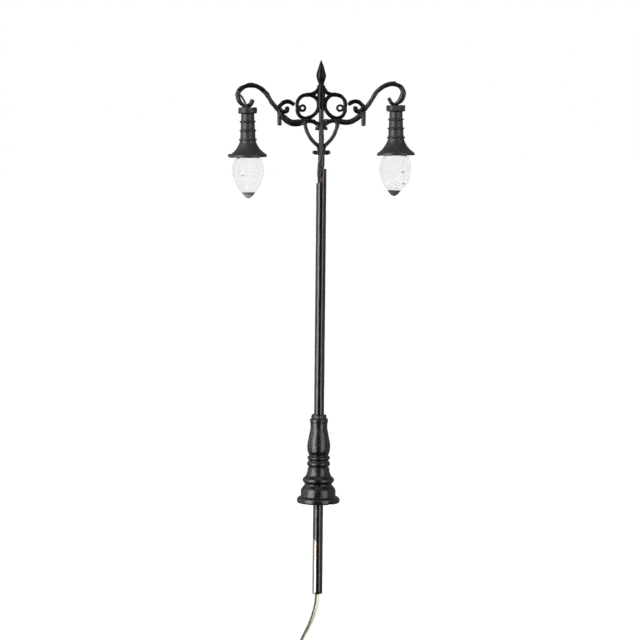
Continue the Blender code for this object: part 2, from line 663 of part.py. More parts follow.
gloss_black = new_material("gloss_black_paint", (0.012, 0.012, 0.013), 0.3)
satin_black = new_material("mast_black_paint", (0.015, 0.015, 0.017), 0.22)
satin_plastic = new_material("satin_black_plastic", (0.03, 0.03, 0.032), 0.42)
clear_plastic = new_material("clear_plastic", (0.95, 0.94, 0.95), 0.06, alpha=0.35, transmission=0.9)
led_white = new_material("led_white", (0.85, 0.8, 0.55), 0.4)
wire_black = new_material("wire_black", (0.02, 0.02, 0.02), 0.4)
shrink_black = new_material("shrink_black", (0.02, 0.02, 0.02), 0.6)
sleeve_red = new_material("sleeve_red", (0.45, 0.08, 0.12), 0.5)
lead_dark = new_material("lead_dark", (0.1, 0.097, 0.08), 0.45)
lead_yellow = new_material("lead_yellow", (0.93, 0.93, 0.62), 0.45)
tie_black = new_material("tie_black", (0.03, 0.03, 0.03), 0.5)

build_mast()
build_pedestal()
rod_cutter = build_rod()
finial_cutter = build_finial()
build_ladder_bar(rod_cutter)
for word, side in (("left", -1), ("right", 1)):
    arm_cutter = build_arm(word, side, rod_cutter)
    build_scroll(word, side, arm_cutter, finial_cutter)
    build_curl(word, side, arm_cutter)
    build_pin(word, side, arm_cutter)
    build_heart(word, side, arm_cutter, rod_cutter)
    build_lamp(word, side, arm_cutter)
wire_lines = build_lamp_wires()
build_red_sleeve(wire_lines[3])
build_feed("dark", DARK_EXIT, -1, lead_dark)
build_feed("yellow", YELLOW_EXIT, 1, lead_yellow)
build_lead("dark", LEAD_DARK_ROUTE, lead_dark, -COIL_Y)
coil_place = build_lead("yellow", LEAD_YELLOW_ROUTE, lead_yellow, COIL_Y)
build_tie(*coil_place)
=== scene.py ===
"""The looks of a twin-arm model street lamp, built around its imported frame.

Numbers are millimetres in the lamp's own frame unless they say otherwise; MM turns them into metres.
The lamp faces -Y, +Z is up, and the origin is the centre of the underside of its base.
"""

from math import atan2, ceil, copysign, cos, exp, pi, radians, sin, tau

import bmesh
import bpy
from mathutils import Matrix, Vector, noise


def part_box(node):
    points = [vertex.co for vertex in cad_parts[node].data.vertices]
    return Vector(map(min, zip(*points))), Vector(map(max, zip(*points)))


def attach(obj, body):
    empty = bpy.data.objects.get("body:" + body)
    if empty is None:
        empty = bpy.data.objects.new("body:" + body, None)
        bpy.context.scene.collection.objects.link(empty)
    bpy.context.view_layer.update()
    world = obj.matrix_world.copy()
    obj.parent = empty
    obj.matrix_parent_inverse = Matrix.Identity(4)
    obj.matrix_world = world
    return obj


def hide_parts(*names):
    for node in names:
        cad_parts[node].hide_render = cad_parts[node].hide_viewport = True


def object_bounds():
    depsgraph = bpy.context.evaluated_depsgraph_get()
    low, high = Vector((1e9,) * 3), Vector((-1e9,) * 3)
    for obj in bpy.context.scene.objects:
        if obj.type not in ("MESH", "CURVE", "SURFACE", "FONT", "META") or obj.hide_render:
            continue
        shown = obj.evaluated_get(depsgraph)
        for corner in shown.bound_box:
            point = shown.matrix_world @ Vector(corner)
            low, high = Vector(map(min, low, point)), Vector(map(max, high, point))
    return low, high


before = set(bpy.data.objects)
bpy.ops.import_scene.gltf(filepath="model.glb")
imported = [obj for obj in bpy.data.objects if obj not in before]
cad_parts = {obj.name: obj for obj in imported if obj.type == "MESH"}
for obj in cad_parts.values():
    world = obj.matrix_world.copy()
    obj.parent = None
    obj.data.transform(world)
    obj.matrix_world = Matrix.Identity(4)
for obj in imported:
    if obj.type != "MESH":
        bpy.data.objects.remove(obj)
cad_low, cad_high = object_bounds()
MM = 0.001
BODY = "root"


# What the frame gives


def reach(node):
    """The lowest and the highest corner of a CAD node, in millimetres."""
    low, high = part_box(node)
    return low / MM, high / MM


def new_object(name, data):
    made = bpy.data.objects.new(name, data)
    bpy.context.scene.collection.objects.link(made)
    return made


def mesh_object(name, shape):
    """A bmesh as an object in the scene."""
    mesh = bpy.data.meshes.new(name)
    shape.to_mesh(mesh)
    shape.free()
    return new_object(name, mesh)


# Lines, in millimetres


def catmull_rom(a, b, c, d, t):
    """A point between b and c, a share t of the way, on a curve through all four."""
    slope = c - a
    bend = 2 * a - 5 * b + 4 * c - d
    twist = 3 * b - a - 3 * c + d
    return 0.5 * (2 * b + slope * t + bend * t**2 + twist * t**3)


def smooth(route, per_span, cyclic=False):
    """A smooth curve through the route's points, with per_span points for each stretch."""
    knots = [Vector(p) for p in route]
    if cyclic:
        knots = [knots[-1], *knots, knots[0], knots[1]]
    else:
        knots = [2 * knots[0] - knots[1], *knots, 2 * knots[-1] - knots[-2]]
    line = []
    for i in range(len(knots) - 3):
        line += [catmull_rom(*knots[i : i + 4], step / per_span) for step in range(per_span)]
    return line if cyclic else [*line, knots[-2]]


def ease(t):
    """0 to 1, level at both ends."""
    t = max(0.0, min(1.0, t))
    return t * t * (3 - 2 * t)


def between(value, low, high):
    """How far a value is from low to high, eased."""
    return ease((value - low) / (high - low))


def within(value, a, b, c, d):
    """1 from b to c, 0 below a and above d, eased between."""
    return between(value, a, b) * (1.0 - between(value, c, d))


# Camera

CAMERA_TARGET = Vector((0.0, 0.0, 27.48))
CAMERA_DISTANCE = 370.0
CAMERA_ELEVATION, CAMERA_ROLL = radians(4.0), radians(0.575)
VIEW_WIDTH = 95.7  # what the view spans at the target
SENSOR = 36.0


def build_camera():
    data = bpy.data.cameras.new("camera")
    data.sensor_width = SENSOR
    data.lens = SENSOR * CAMERA_DISTANCE / VIEW_WIDTH
    data.clip_start, data.clip_end = 0.01, 20.0
    camera = new_object("camera", data)
    back = Vector((0.0, -cos(CAMERA_ELEVATION), sin(CAMERA_ELEVATION)))
    camera.location = (CAMERA_TARGET + CAMERA_DISTANCE * back) * MM
    camera.rotation_euler = (radians(90) - CAMERA_ELEVATION, 0.0, 0.0)
    camera.rotation_euler.rotate_axis("Z", CAMERA_ROLL)
    bpy.context.scene.camera = camera


build_camera()


# Material nodes


def plug(value, socket):
    """Links a socket to another, or sets it to a value."""
    if isinstance(value, bpy.types.NodeSocket):
        socket.id_data.links.new(value, socket)
    else:
        socket.default_value = value


def node(owner, kind, inputs=None, **settings):
    """A shader node in the tree of its owner, which is a node, a socket or the tree itself."""
    made = owner.id_data.nodes.new("ShaderNode" + kind)
    for key, value in settings.items():
        setattr(made, key, value)
    for key, value in (inputs or {}).items():
        plug(value, made.inputs[key])
    return made


def place(owner, stretch=(1.0, 1.0, 1.0)):
    """The place on the object, in millimetres, stretched along the axes."""
    here = node(owner, "TexCoord").outputs["Object"]
    scale = [s / MM for s in stretch]
    return node(owner, "Mapping", {"Vector": here, "Scale": scale}).outputs[0]


def parts(where):
    """The x, y and z of a place."""
    return node(where, "SeparateXYZ", {"Vector": where}).outputs


def grain(where, per_mm, detail=3.0, roughness=0.5):
    """Noise with about per_mm features a millimetre."""
    inputs = {"Vector": where, "Scale": per_mm, "Detail": detail, "Roughness": roughness}
    return node(where, "TexNoise", inputs).outputs["Fac"]


def ranged(value, to_low, to_high, low=0.3, high=0.7, **how):
    inputs = {"Value": value, "From Min": low, "From Max": high, "To Min": to_low, "To Max": to_high}
    return node(value, "MapRange", inputs, **how).outputs[0]


def stepped(value, low, high):
    """0 below low, 1 above high, and smooth between."""
    return ranged(value, 0.0, 1.0, low, high, interpolation_type="SMOOTHSTEP")


def maths(operation, a, b):
    """A Math node. a is a socket."""
    return node(a, "Math", {0: a, 1: b}, operation=operation).outputs[0]


def plus(a, b):
    return maths("ADD", a, b)


def times(a, b):
    return maths("MULTIPLY", a, b)


def opposite(share):
    """1 less the share."""
    return node(share, "Math", {0: 1.0, 1: share}, operation="SUBTRACT").outputs[0]


def mixed(share, *colours):
    """A share of the way from one colour to another."""
    a, b = [(*c, 1.0) if isinstance(c, tuple) else c for c in colours]
    return node(share, "Mix", {"Factor": share, 6: a, 7: b}, data_type="RGBA").outputs[2]


def bumped(height, depth, under=None):
    """A surface normal from a height of 0 to 1, depth millimetres deep."""
    inputs = {"Height": height, "Distance": depth * MM}
    if under is not None:
        inputs["Normal"] = under
    return node(height, "Bump", inputs).outputs[0]


def material(name, **values):
    """A material, its shader and the place on the object. In a value's name _ stands for a space."""
    made = bpy.data.materials.new(name)
    made.use_nodes = True
    shader = made.node_tree.nodes["Principled BSDF"]
    for key, value in values.items():
        shader.inputs[key.replace("_", " ")].default_value = value
    return made, shader, place(shader)


def surface(shader, colour, gloss, normal):
    """Gives a shader its colour, its roughness and its normal."""
    for key, socket in (("Base Color", colour), ("Roughness", gloss), ("Normal", normal)):
        plug(socket, shader.inputs[key])


# Materials

GLOBE_IOR = 1.04


def thick_paint(name, lump_depth, lumps_per_mm, gloss=(0.3, 0.5), ior=1.45):
    """Black paint, laid on thick: lumps, finer ripples, some dust and a thin glossy coat."""
    made, shader, here = material(name, IOR=ior, Coat_Weight=0.06, Coat_Roughness=0.12)
    dust = stepped(grain(here, 7.0, 4.0, 0.7), 0.68, 0.84)
    lumps = bumped(grain(here, lumps_per_mm, 2.0), lump_depth)
    ripples = bumped(grain(here, 4.0 * lumps_per_mm, 2.0), lump_depth * 0.035, under=lumps)
    black = mixed(dust, (0.0025, 0.0023, 0.0023), (0.008, 0.0075, 0.0075))
    surface(shader, black, ranged(grain(here, 2.2), *gloss), ripples)
    return made


def mast_paint():
    """Smooth gloss black on a metal tube, which shows bare on one side near the foot."""
    made, shader, here = material("mast_paint", IOR=1.5)
    x, y, z = parts(here)
    rough_edge = ranged(grain(here, 2.4, 5.0, 0.65), -1.0, 1.0, 0.25, 0.75)
    facing = radians(BARE_FACING)
    towards = plus(times(x, -sin(facing)), times(y, -cos(facing)))
    side = plus(towards, times(rough_edge, 0.045))
    edge = MAST_R * cos(radians(BARE_HALF_ANGLE))
    on_side = stepped(side, edge - 0.012, edge + 0.012)
    slant = times(plus(x, MAST_R), BARE_SLANT)
    height = plus(plus(z, slant), times(rough_edge, 0.16))
    below = opposite(stepped(height, BARE_TOP_Z - 0.03, BARE_TOP_Z + 0.03))
    cut_end = opposite(stepped(z, MAST_LOW.z + 0.03, MAST_LOW.z + 0.06))
    bare = maths("MAXIMUM", times(on_side, below), cut_end)
    painted = opposite(bare)
    streaks = grain(place(shader, (3.0, 3.0, 0.12)), 2.0)
    stain = stepped(side, edge + 0.1, edge)
    metal = mixed(streaks, (0.24, 0.23, 0.22), (0.36, 0.35, 0.335))
    metal = mixed(stain, metal, (0.2, 0.12, 0.09))
    dust = stepped(grain(here, 5.0, 4.0, 0.7), 0.6, 0.8)
    paint = mixed(dust, (0.003, 0.003, 0.0032), (0.011, 0.011, 0.0115))
    paint_gloss = times(ranged(grain(here, 1.3), 0.16, 0.27), painted)
    gloss = plus(paint_gloss, times(ranged(streaks, 0.26, 0.42), bare))
    runs = bumped(grain(place(shader, (1.0, 1.0, 0.35)), 1.1, 2.0), 0.05, under=bumped(painted, 0.03))
    peel = bumped(grain(here, 9.0, 2.0), 0.004, under=runs)
    surface(shader, mixed(bare, paint, metal), gloss, peel)
    plug(bare, shader.inputs["Metallic"])
    return made


def moulded_plastic(name, colour, scuffed, gloss=(0.38, 0.52)):
    """Satin dark plastic: a fine moulded texture, faint flow marks, and edges rubbed paler."""
    made, shader, here = material(name, IOR=1.5)
    edges = stepped(node(shader, "NewGeometry").outputs["Pointiness"], 0.515, 0.56)
    worn = times(edges, stepped(grain(here, 2.5, 4.0, 0.7), 0.4, 0.65))
    flow = grain(place(shader, (1.0, 1.0, 0.3)), 1.4, 4.0, 0.6)
    cloudy = mixed(flow, colour, tuple(1.45 * c for c in colour))
    skin = bumped(grain(here, 14.0, 3.0, 0.6), 0.004)
    relief = bumped(flow, 0.05, under=skin)
    surface(shader, mixed(worn, cloudy, scuffed), ranged(grain(here, 3.0, 4.0), *gloss), relief)
    return made


def dark_spot(here, spot, size):
    """1 at a spot and 0 beyond its size, a (half length, half height) in millimetres."""
    half_sizes = (size[0], DARK_SPOT_HALF_DEPTH, size[1])
    squares = []
    for part, middle, half in zip(parts(here), spot, half_sizes):
        off = maths("DIVIDE", maths("SUBTRACT", part, middle), half)
        squares.append(maths("POWER", off, 2.0))
    x, y, z = squares
    return opposite(stepped(plus(plus(x, z), y), 0.15, 1.0))


DARK_SPOT_HALF_DEPTH = 1.2
OUTER_WALL = "outer_wall"  # 1 on the outside of a globe and 0 on the inside


def clear_moulding(name, dark_spots):
    """Clear plastic with faint flow lines and a few dark spots at given places. Only its outer wall is
    tinted.
    """
    made, shader, here = material(name, IOR=GLOBE_IOR, Transmission_Weight=0.985)
    lines = grain(place(shader, (1.6, 1.6, 0.1)), 1.0, 3.0, 0.55)
    clouds = grain(place(shader, (1.0, 1.0, 0.5)), 0.7, 3.0, 0.6)
    tint = mixed(stepped(lines, 0.35, 0.65), (0.82, 0.805, 0.82), (0.905, 0.9, 0.895))
    tint = mixed(stepped(clouds, 0.5, 0.7), tint, (0.8, 0.775, 0.785))
    # The tint goes dark at a few given spots
    for spot, size in dark_spots:
        tint = mixed(dark_spot(here, spot, size), tint, (0.1, 0.09, 0.095))
    outer = node(shader, "Attribute", attribute_name=OUTER_WALL).outputs["Fac"]
    tint = mixed(outer, (0.995, 0.995, 0.995), tint)
    surface(shader, tint, ranged(clouds, 0.1, 0.24), bumped(lines, 0.012))
    return made


def graded_plastic(name, top, bottom, high_z, low_z):
    """Dark plastic that gets paler downwards."""
    made, shader, here = material(name, IOR=1.5)
    waver = ranged(grain(here, 1.5), -0.12, 0.12)
    paler = opposite(stepped(plus(parts(here)["Z"], waver), low_z, high_z))
    relief = bumped(grain(here, 14.0, 3.0, 0.6), 0.006)
    surface(shader, mixed(paler, top, bottom), ranged(grain(here, 3.0, 4.0), 0.3, 0.45), relief)
    return made


def insulation(name, colour, deep):
    """Soft wire insulation, a little uneven from its extrusion, with some grime."""
    made, shader, here = material(name, IOR=1.46, Subsurface_Weight=0.12, Subsurface_Scale=0.0002)
    grime = stepped(grain(here, 1.1, 5.0, 0.65), 0.5, 0.8)
    relief = bumped(grain(here, 6.0), 0.012)
    surface(shader, mixed(grime, colour, deep), ranged(grain(here, 4.0), 0.36, 0.52), relief)
    return made


def resin(name, colour, patches):
    """Cast resin, a little cloudy, deeper in colour in patches."""
    made, shader, here = material(name, IOR=1.5, Subsurface_Weight=0.2, Subsurface_Scale=0.0003)
    relief = bumped(grain(here, 8.0, 2.0), 0.006)
    surface(shader, mixed(grain(here, 1.5), colour, patches), ranged(grain(here, 3.0), 0.3, 0.42), relief)
    return made


# The mast's sizes, which its material needs too
MAST_LOW, MAST_HIGH = reach("mast_tube")
MAST_R = (MAST_HIGH.x - MAST_LOW.x) / 2
BARE_FACING, BARE_HALF_ANGLE = 70.0, 54.0  # the bare patch: degrees to the left of the front
BARE_TOP_Z, BARE_SLANT = -5.35, 0.85  # its top at the mast's left edge, and its fall per mm from there

PAINT_LUMPY = thick_paint("paint_lumpy", 0.08, 1.4)
PAINT_EVEN = thick_paint("paint_even", 0.04, 1.3)
PAINT_DULL = thick_paint("paint_dull", 0.03, 1.3, (0.3, 0.45), ior=1.22)
WIRE_PAINT = thick_paint("wire_paint", 0.02, 3.0, (0.16, 0.3))
MAST_PAINT = mast_paint()
PEDESTAL_PLASTIC = moulded_plastic(
    "pedestal_plastic", (0.0035, 0.0035, 0.0038), (0.02, 0.02, 0.021), (0.24, 0.36)
)
SHADE_PLASTIC = moulded_plastic("shade_plastic", (0.012, 0.012, 0.0135), (0.03, 0.03, 0.032), (0.4, 0.54))
TIP_LEFT_PLASTIC = graded_plastic("tip_left_plastic", (0.13, 0.122, 0.128), (0.46, 0.46, 0.47), 46.4, 45.8)
TIP_RIGHT_PLASTIC = graded_plastic("tip_right_plastic", (0.11, 0.094, 0.112), (0.16, 0.14, 0.16), 46.2, 45.7)
CLEAR_LEFT = clear_moulding("clear_moulding_left", [((-11.62, -2.2, 48.95), (0.34, 0.11))])
CLEAR_RIGHT = clear_moulding(
    "clear_moulding_right", [((12.03, -1.9, 49.7), (0.46, 0.13)), ((12.2, -1.2, 47.95), (0.34, 0.15))]
)
LEAD_DARK = insulation("insulation_dark", (0.102, 0.098, 0.074), (0.06, 0.056, 0.045))
LEAD_YELLOW = insulation("insulation_yellow", (0.93, 0.93, 0.64), (0.8, 0.78, 0.5))
SLEEVE_RED = insulation("insulation_red", (0.24, 0.035, 0.06), (0.09, 0.014, 0.026))
SHRINK = insulation("shrink_tube", (0.02, 0.02, 0.021), (0.035, 0.034, 0.035))
TIE_PLASTIC = moulded_plastic("tie_plastic", (0.02, 0.02, 0.021), (0.06, 0.06, 0.062))
LED_RESIN = resin("led_resin", (0.85, 0.8, 0.55), (0.9, 0.74, 0.25))


# Making pieces

LEAN_FROM_Z, LEAN = 48.3, 0.0122  # the bracket stands this far off the mast's line, per mm
ARM_SAG = 0.14  # how much lower the left lamp hangs, and how much higher the right one


def leaned(p):
    """Where a point goes when the bracket is put on by hand, not quite straight."""
    share = max(between(p.z, LEAN_FROM_Z - 1.0, LEAN_FROM_Z + 2.5), between(abs(p.x), 3.0, 6.0))
    sag = copysign(ARM_SAG, p.x) * between(abs(p.x), 5.5, 10.8)
    if p.x > 0:
        sag *= 1.0 - between(p.z, 60.3, 61.8)
    along, up = LEAN * (LEAN_FROM_Z - p.z), LEAN * p.x + sag
    return p + share * Vector((along, 0.0, up))


def face_outwards(shape):
    bmesh.ops.recalc_face_normals(shape, faces=shape.faces)


def new_piece(name, shape, skin, replaced, sharp=None):
    """A bmesh in millimetres as a shown piece of the lamp, in place of a CAD node."""
    face_outwards(shape)
    if name != "mast":
        for vertex in shape.verts:
            vertex.co = leaned(vertex.co)
    bmesh.ops.scale(shape, vec=(MM, MM, MM), verts=shape.verts)
    made = mesh_object(name, shape)
    made.data.shade_smooth()
    if sharp:
        made.data.set_sharp_from_angle(angle=radians(sharp))
    made.data.materials.append(skin)
    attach(made, BODY)
    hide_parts(replaced)
    return made


def pushed(shape, amount):
    """Moves each of a shape's points along its normal, by the amount at that point."""
    shape.normal_update()
    for vertex in shape.verts:
        vertex.co += amount(vertex.co) * vertex.normal


def rough(shape, amount, per_mm, seed, weight=lambda p: 1.0):
    """Roughens a shape by noise. weight scales it at a point."""
    shift = Vector((seed, 1.7 * seed, -seed))
    pushed(shape, lambda p: amount * weight(p) * noise.noise(p * per_mm + shift))


def bridge(shape, rings, cyclic):
    """Faces from each ring to the next. A ring may be a single point."""
    pairs = list(zip(rings, rings[1:]))
    if cyclic:
        pairs.append((rings[-1], rings[0]))
    for low, high in pairs:
        count = max(len(low), len(high))
        for k in range(count):
            n = (k + 1) % count
            corners = [low[k % len(low)], low[n % len(low)], high[n % len(high)], high[k % len(high)]]
            corners = list(dict.fromkeys(corners))
            if len(corners) > 2:
                shape.faces.new(corners)


def add_tube(shape, line, radii, sides=20, cyclic=False, dome=0.55):
    """Adds a round tube along a line, with domed ends. radii: one for each point, or one for all."""
    line = [Vector(p) for p in line]
    count = len(line)
    if isinstance(radii, float):
        radii = [radii] * count
    aheads = []
    for i in range(count):
        before = line[i - 1] if i or cyclic else line[0]
        after = line[(i + 1) % count] if cyclic else line[min(i + 1, count - 1)]
        aheads.append((after - before).normalized())
    side = aheads[0].orthogonal().normalized()
    if abs(aheads[0].y) < 0.9:
        side = (Vector((0, 1, 0)) - aheads[0].y * aheads[0]).normalized()
    turns = [tau * k / sides for k in range(sides)]
    caps = [] if cyclic else [radians(a) for a in (25, 50, 75)]
    rings = []
    for i, (centre, ahead, radius) in enumerate(zip(line, aheads, radii)):
        side = (side - side.dot(ahead) * ahead).normalized()
        up = ahead.cross(side)
        before = [-a for a in reversed(caps)] if i == 0 else []
        after = caps if i == count - 1 else []
        for a in (*before, 0.0, *after):
            middle, r = centre + ahead * radius * dome * sin(a), radius * cos(a)
            rings.append([shape.verts.new(middle + r * (cos(t) * side + sin(t) * up)) for t in turns])
    bridge(shape, rings, cyclic)
    if not cyclic:
        shape.faces.new(reversed(rings[0]))
        shape.faces.new(rings[-1])


def tube(line, radii, **how):
    shape = bmesh.new()
    add_tube(shape, line, radii, **how)
    return shape


def with_modifiers(helper, *others):
    """A helper's mesh with its modifiers applied. Removes it, and the others."""
    bpy.context.view_layer.update()
    evaluated = helper.evaluated_get(bpy.context.evaluated_depsgraph_get())
    result = bmesh.new()
    result.from_mesh(evaluated.to_mesh())
    evaluated.to_mesh_clear()
    for used in (helper, *others):
        bpy.data.meshes.remove(used.data)
    return result


def fused(shape, voxel=0.045, rounds=4):
    """Overlapping bodies as one skin, with soft fillets where they meet."""
    helper = mesh_object("fused", shape)
    remesh = helper.modifiers.new("remesh", "REMESH")
    remesh.mode = "VOXEL"
    remesh.voxel_size = voxel
    soften = helper.modifiers.new("soften", "SMOOTH")
    soften.iterations = rounds
    return with_modifiers(helper)


def softened(profile, radius, steps=3):
    """A profile with its corners rounded, from radius along each side."""
    points = [Vector(p) for p in profile]
    line = [points[0]]
    for before, corner, after in zip(points, points[1:], points[2:]):
        start = min(radius, 0.45 * (corner - before).length)
        end = min(radius, 0.45 * (after - corner).length)
        a = corner + (before - corner).normalized() * start
        b = corner + (after - corner).normalized() * end
        for k in range(steps + 1):
            t = k / steps
            line.append((1 - t) ** 2 * a + 2 * t * (1 - t) * corner + t**2 * b)
    return [*line, points[-1]]


ON_AXIS = 1e-6


def turned(profile, steps=96, centre_x=0.0, closed=False):
    """A (radius, height) profile turned about the vertical line at centre_x."""
    shape = bmesh.new()
    rings = []
    for r, z in profile:
        if r < ON_AXIS:
            rings.append([shape.verts.new((centre_x, 0.0, z))])
            continue
        turns = [tau * k / steps for k in range(steps)]
        rings.append([shape.verts.new((centre_x + r * cos(a), r * sin(a), z)) for a in turns])
    bridge(shape, rings, closed)
    return shape


def finer(profile, most):
    """A profile with more points, at most that far apart."""
    line = [Vector(profile[0])]
    for a, b in zip(profile, profile[1:]):
        a, b = Vector(a), Vector(b)
        count = max(1, ceil((b - a).length / most))
        line += [a + (b - a) * (k + 1) / count for k in range(count)]
    return line


# The leads and their coils: the first pieces made

LEAD_R = 0.15
LEAD_LENGTH = 200.0
COIL_LAYERS, COIL_TURNS_ACROSS = 2, 8
TURN_SPACING, LAYER_SPACING = 0.34, 0.32
COIL_Z = -23.75
COIL_Y = 1.37  # the middle of each coil, in front of the lamp's plane and behind it
STEP_ANGLE = 0.5  # the angle over which a turn moves to the next place, in radians
COIL_STEPS = 28  # points for each turn
COIL_R_LEAST, COIL_R_MOST, COIL_R_HALVINGS = 0.5, 3.0, 30  # where its innermost radius is searched for

# Their free stretches, from the mast's end: (x, y, z)
LEAD_DARK_ROUTE = (
    (-0.2, 0.0, -13.82), (-0.24, -0.01, -14.5), (-0.3, -0.03, -15.2), (-0.43, -0.06, -15.9),
    (-0.58, -0.08, -16.5), (-0.78, -0.1, -17.2), (-1.03, -0.12, -17.9), (-1.3, -0.14, -18.6),
    (-1.63, -0.16, -19.3), (-1.98, -0.17, -20.0), (-2.3, -0.18, -20.7), (-2.54, -0.18, -21.3),
    (-2.69, -0.18, -21.9), (-2.74, -0.18, -22.25), (-2.75, -0.18, -22.5),
)
LEAD_YELLOW_ROUTE = (
    (0.12, 0.06, -13.82), (0.11, 0.08, -14.5), (0.07, 0.11, -15.2), (-0.03, 0.13, -15.9),
    (-0.18, 0.14, -16.5), (-0.38, 0.15, -17.2), (-0.65, 0.16, -17.9), (-0.95, 0.17, -18.6),
    (-1.3, 0.18, -19.3), (-1.68, 0.18, -20.0), (-2.06, 0.18, -20.7), (-2.4, 0.18, -21.3),
    (-2.66, 0.18, -21.9), (-2.74, 0.18, -22.25), (-2.75, 0.18, -22.5),
)


def coil_moves():
    """Each move of the winding, from the outside in: (angle where it starts, axial places, layers).

    Each layer moves a little before the one outside it, so that its turns have left their places in time.
    """
    moves = []
    turn_start, across = tau, 1
    for _ in range(COIL_LAYERS):
        turn_start -= STEP_ANGLE
        moves.append((turn_start, 0, -1))
        for _ in range(COIL_TURNS_ACROSS - 1):
            turn_start += tau
            moves.append((turn_start - STEP_ANGLE, across, 0))
        turn_start += tau - STEP_ANGLE
        across = -across
    return moves, turn_start


def coil_line(first, centre, inward):
    """A coil's line from where the lead comes down onto it. first is its innermost turn's radius."""
    moves, last = coil_moves()
    line = []
    count = round(last / tau * COIL_STEPS)
    for i in range(count + 1):
        angle = last * i / count
        across = sum(places * ease((angle - start) / STEP_ANGLE) for start, places, _ in moves)
        layer = COIL_LAYERS + sum(layers * ease((angle - start) / STEP_ANGLE) for start, _, layers in moves)
        radius = first + LAYER_SPACING * layer
        y = inward * ((COIL_TURNS_ACROSS - 1) / 2 - across) * TURN_SPACING
        line.append(centre + Vector((-radius * cos(angle), y, -radius * sin(angle))))
    return line


def whole_lead(route, coil_y):
    """The lead's free stretch and its coil, whose radius makes the whole LEAD_LENGTH long."""
    free = smooth(route, 4)
    inward = 1.0 if coil_y < 0 else -1.0
    low, high = COIL_R_LEAST, COIL_R_MOST
    for _ in range(COIL_R_HALVINGS):
        first = (low + high) / 2
        centre = Vector((route[-1][0] + first + LAYER_SPACING * COIL_LAYERS, coil_y, COIL_Z))
        line = free + coil_line(first, centre, inward)
        if sum((b - a).length for a, b in zip(line, line[1:])) > LEAD_LENGTH:
            high = first
        else:
            low = first
    return line


def build_lead(word, route, coil_y, skin):
    line = whole_lead(route, coil_y)
    curve = bpy.data.curves.new(f"whole_lead_{word}", "CURVE")
    curve.dimensions = "3D"
    curve.fill_mode = "FULL"
    curve.bevel_depth = LEAD_R * MM
    curve.bevel_resolution = 4
    curve.use_fill_caps = True
    spline = curve.splines.new("POLY")
    spline.points.add(len(line) - 1)
    spline.use_smooth = True
    for point, there in zip(spline.points, line):
        point.co = (*(there * MM), 1.0)
    curve.materials.append(skin)
    lead = new_object(f"whole_lead_{word}", curve)
    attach(lead, BODY)
    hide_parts(f"lead_{word}", f"coil_{word}")
    return lead


def build_tie():
    """The flat band round both coils, with the CAD loop's outline and softer edges."""
    low, high = reach("lead_tie")
    thickness, corner, half_width = 0.18, 0.21, (high.x - low.x) / 2
    corner_steps = 6
    centre_x = (low.x + high.x) / 2
    middle_y, middle_z = (high.y - thickness / 2), (low.z + thickness / 2, high.z - thickness / 2)
    outline = []
    for quarter, (y, z) in enumerate(((1, 1), (-1, 1), (-1, 0), (1, 0))):
        centre = Vector((y * (middle_y - corner), middle_z[z] - (corner if z else -corner)))
        for step in range(corner_steps + 1):
            angle = radians(90) * (quarter + step / corner_steps)
            outline.append(centre + corner * Vector((cos(angle), sin(angle))))
    section = softened([(0, -1), (1, -1), (1, 1), (-1, 1), (-1, -1), (0, -1)], 0.35)[:-1]
    shape = bmesh.new()
    rings = []
    for i, here in enumerate(outline):
        ahead = (outline[(i + 1) % len(outline)] - outline[i - 1]).normalized()
        out = Vector((ahead.y, -ahead.x))
        points = [(centre_x + s.y * half_width, *(here + s.x * thickness / 2 * out)) for s in section]
        rings.append([shape.verts.new(point) for point in points])
    bridge(shape, rings, True)
    return new_piece("tie_band", shape, TIE_PLASTIC, "lead_tie", sharp=40)


lead_dark = build_lead("dark", LEAD_DARK_ROUTE, -COIL_Y, LEAD_DARK)
lead_yellow = build_lead("yellow", LEAD_YELLOW_ROUTE, COIL_Y, LEAD_YELLOW)
tie_band = build_tie()


# Light, floor and background


def build_softbox(name, azimuth, elevation, width, height, radiance, colour=(1.0, 0.99, 0.98)):
    """A rectangular light, in metres, that faces the lamp. Azimuth 0 is the camera's side, + to the right."""
    data = bpy.data.lights.new(f"softbox_{name}", "AREA")
    data.shape = "RECTANGLE"
    data.size, data.size_y = width, height
    data.energy = radiance * pi * width * height
    data.color = colour
    light = new_object(data.name, data)
    a, e = radians(azimuth), radians(elevation)
    back = Vector((sin(a) * cos(e), -cos(a) * cos(e), sin(e)))
    light.location = CAMERA_TARGET * MM + SOFTBOX_DISTANCE * back
    light.rotation_mode = "QUATERNION"
    light.rotation_quaternion = (-back).to_track_quat("-Z", "Y")


def build_world():
    """A white room. The lamp's gloss sees it white behind the lamp, and dim where the camera is."""
    world = bpy.data.worlds.new("world")
    bpy.context.scene.world = world
    world.use_nodes = True
    tree = world.node_tree
    seen = tree.nodes["Background"]
    seen.inputs["Color"].default_value = (1.0, 1.0, 1.0, 1.0)
    towards_back = parts(node(tree, "TexCoord").outputs["Generated"])["Y"]
    level = ranged(stepped(towards_back, -0.35, 0.6), ROOM_FRONT, ROOM_BACK, 0.0, 1.0)
    room = node(tree, "Background", {"Color": (1.0, 0.985, 0.97, 1.0), "Strength": level})
    path = node(tree, "LightPath").outputs
    straight = maths("MAXIMUM", path["Is Camera Ray"], path["Is Transmission Ray"])
    chosen = node(tree, "MixShader", {0: straight, 1: room.outputs[0], 2: seen.outputs[0]})
    plug(chosen.outputs[0], tree.nodes["World Output"].inputs["Surface"])


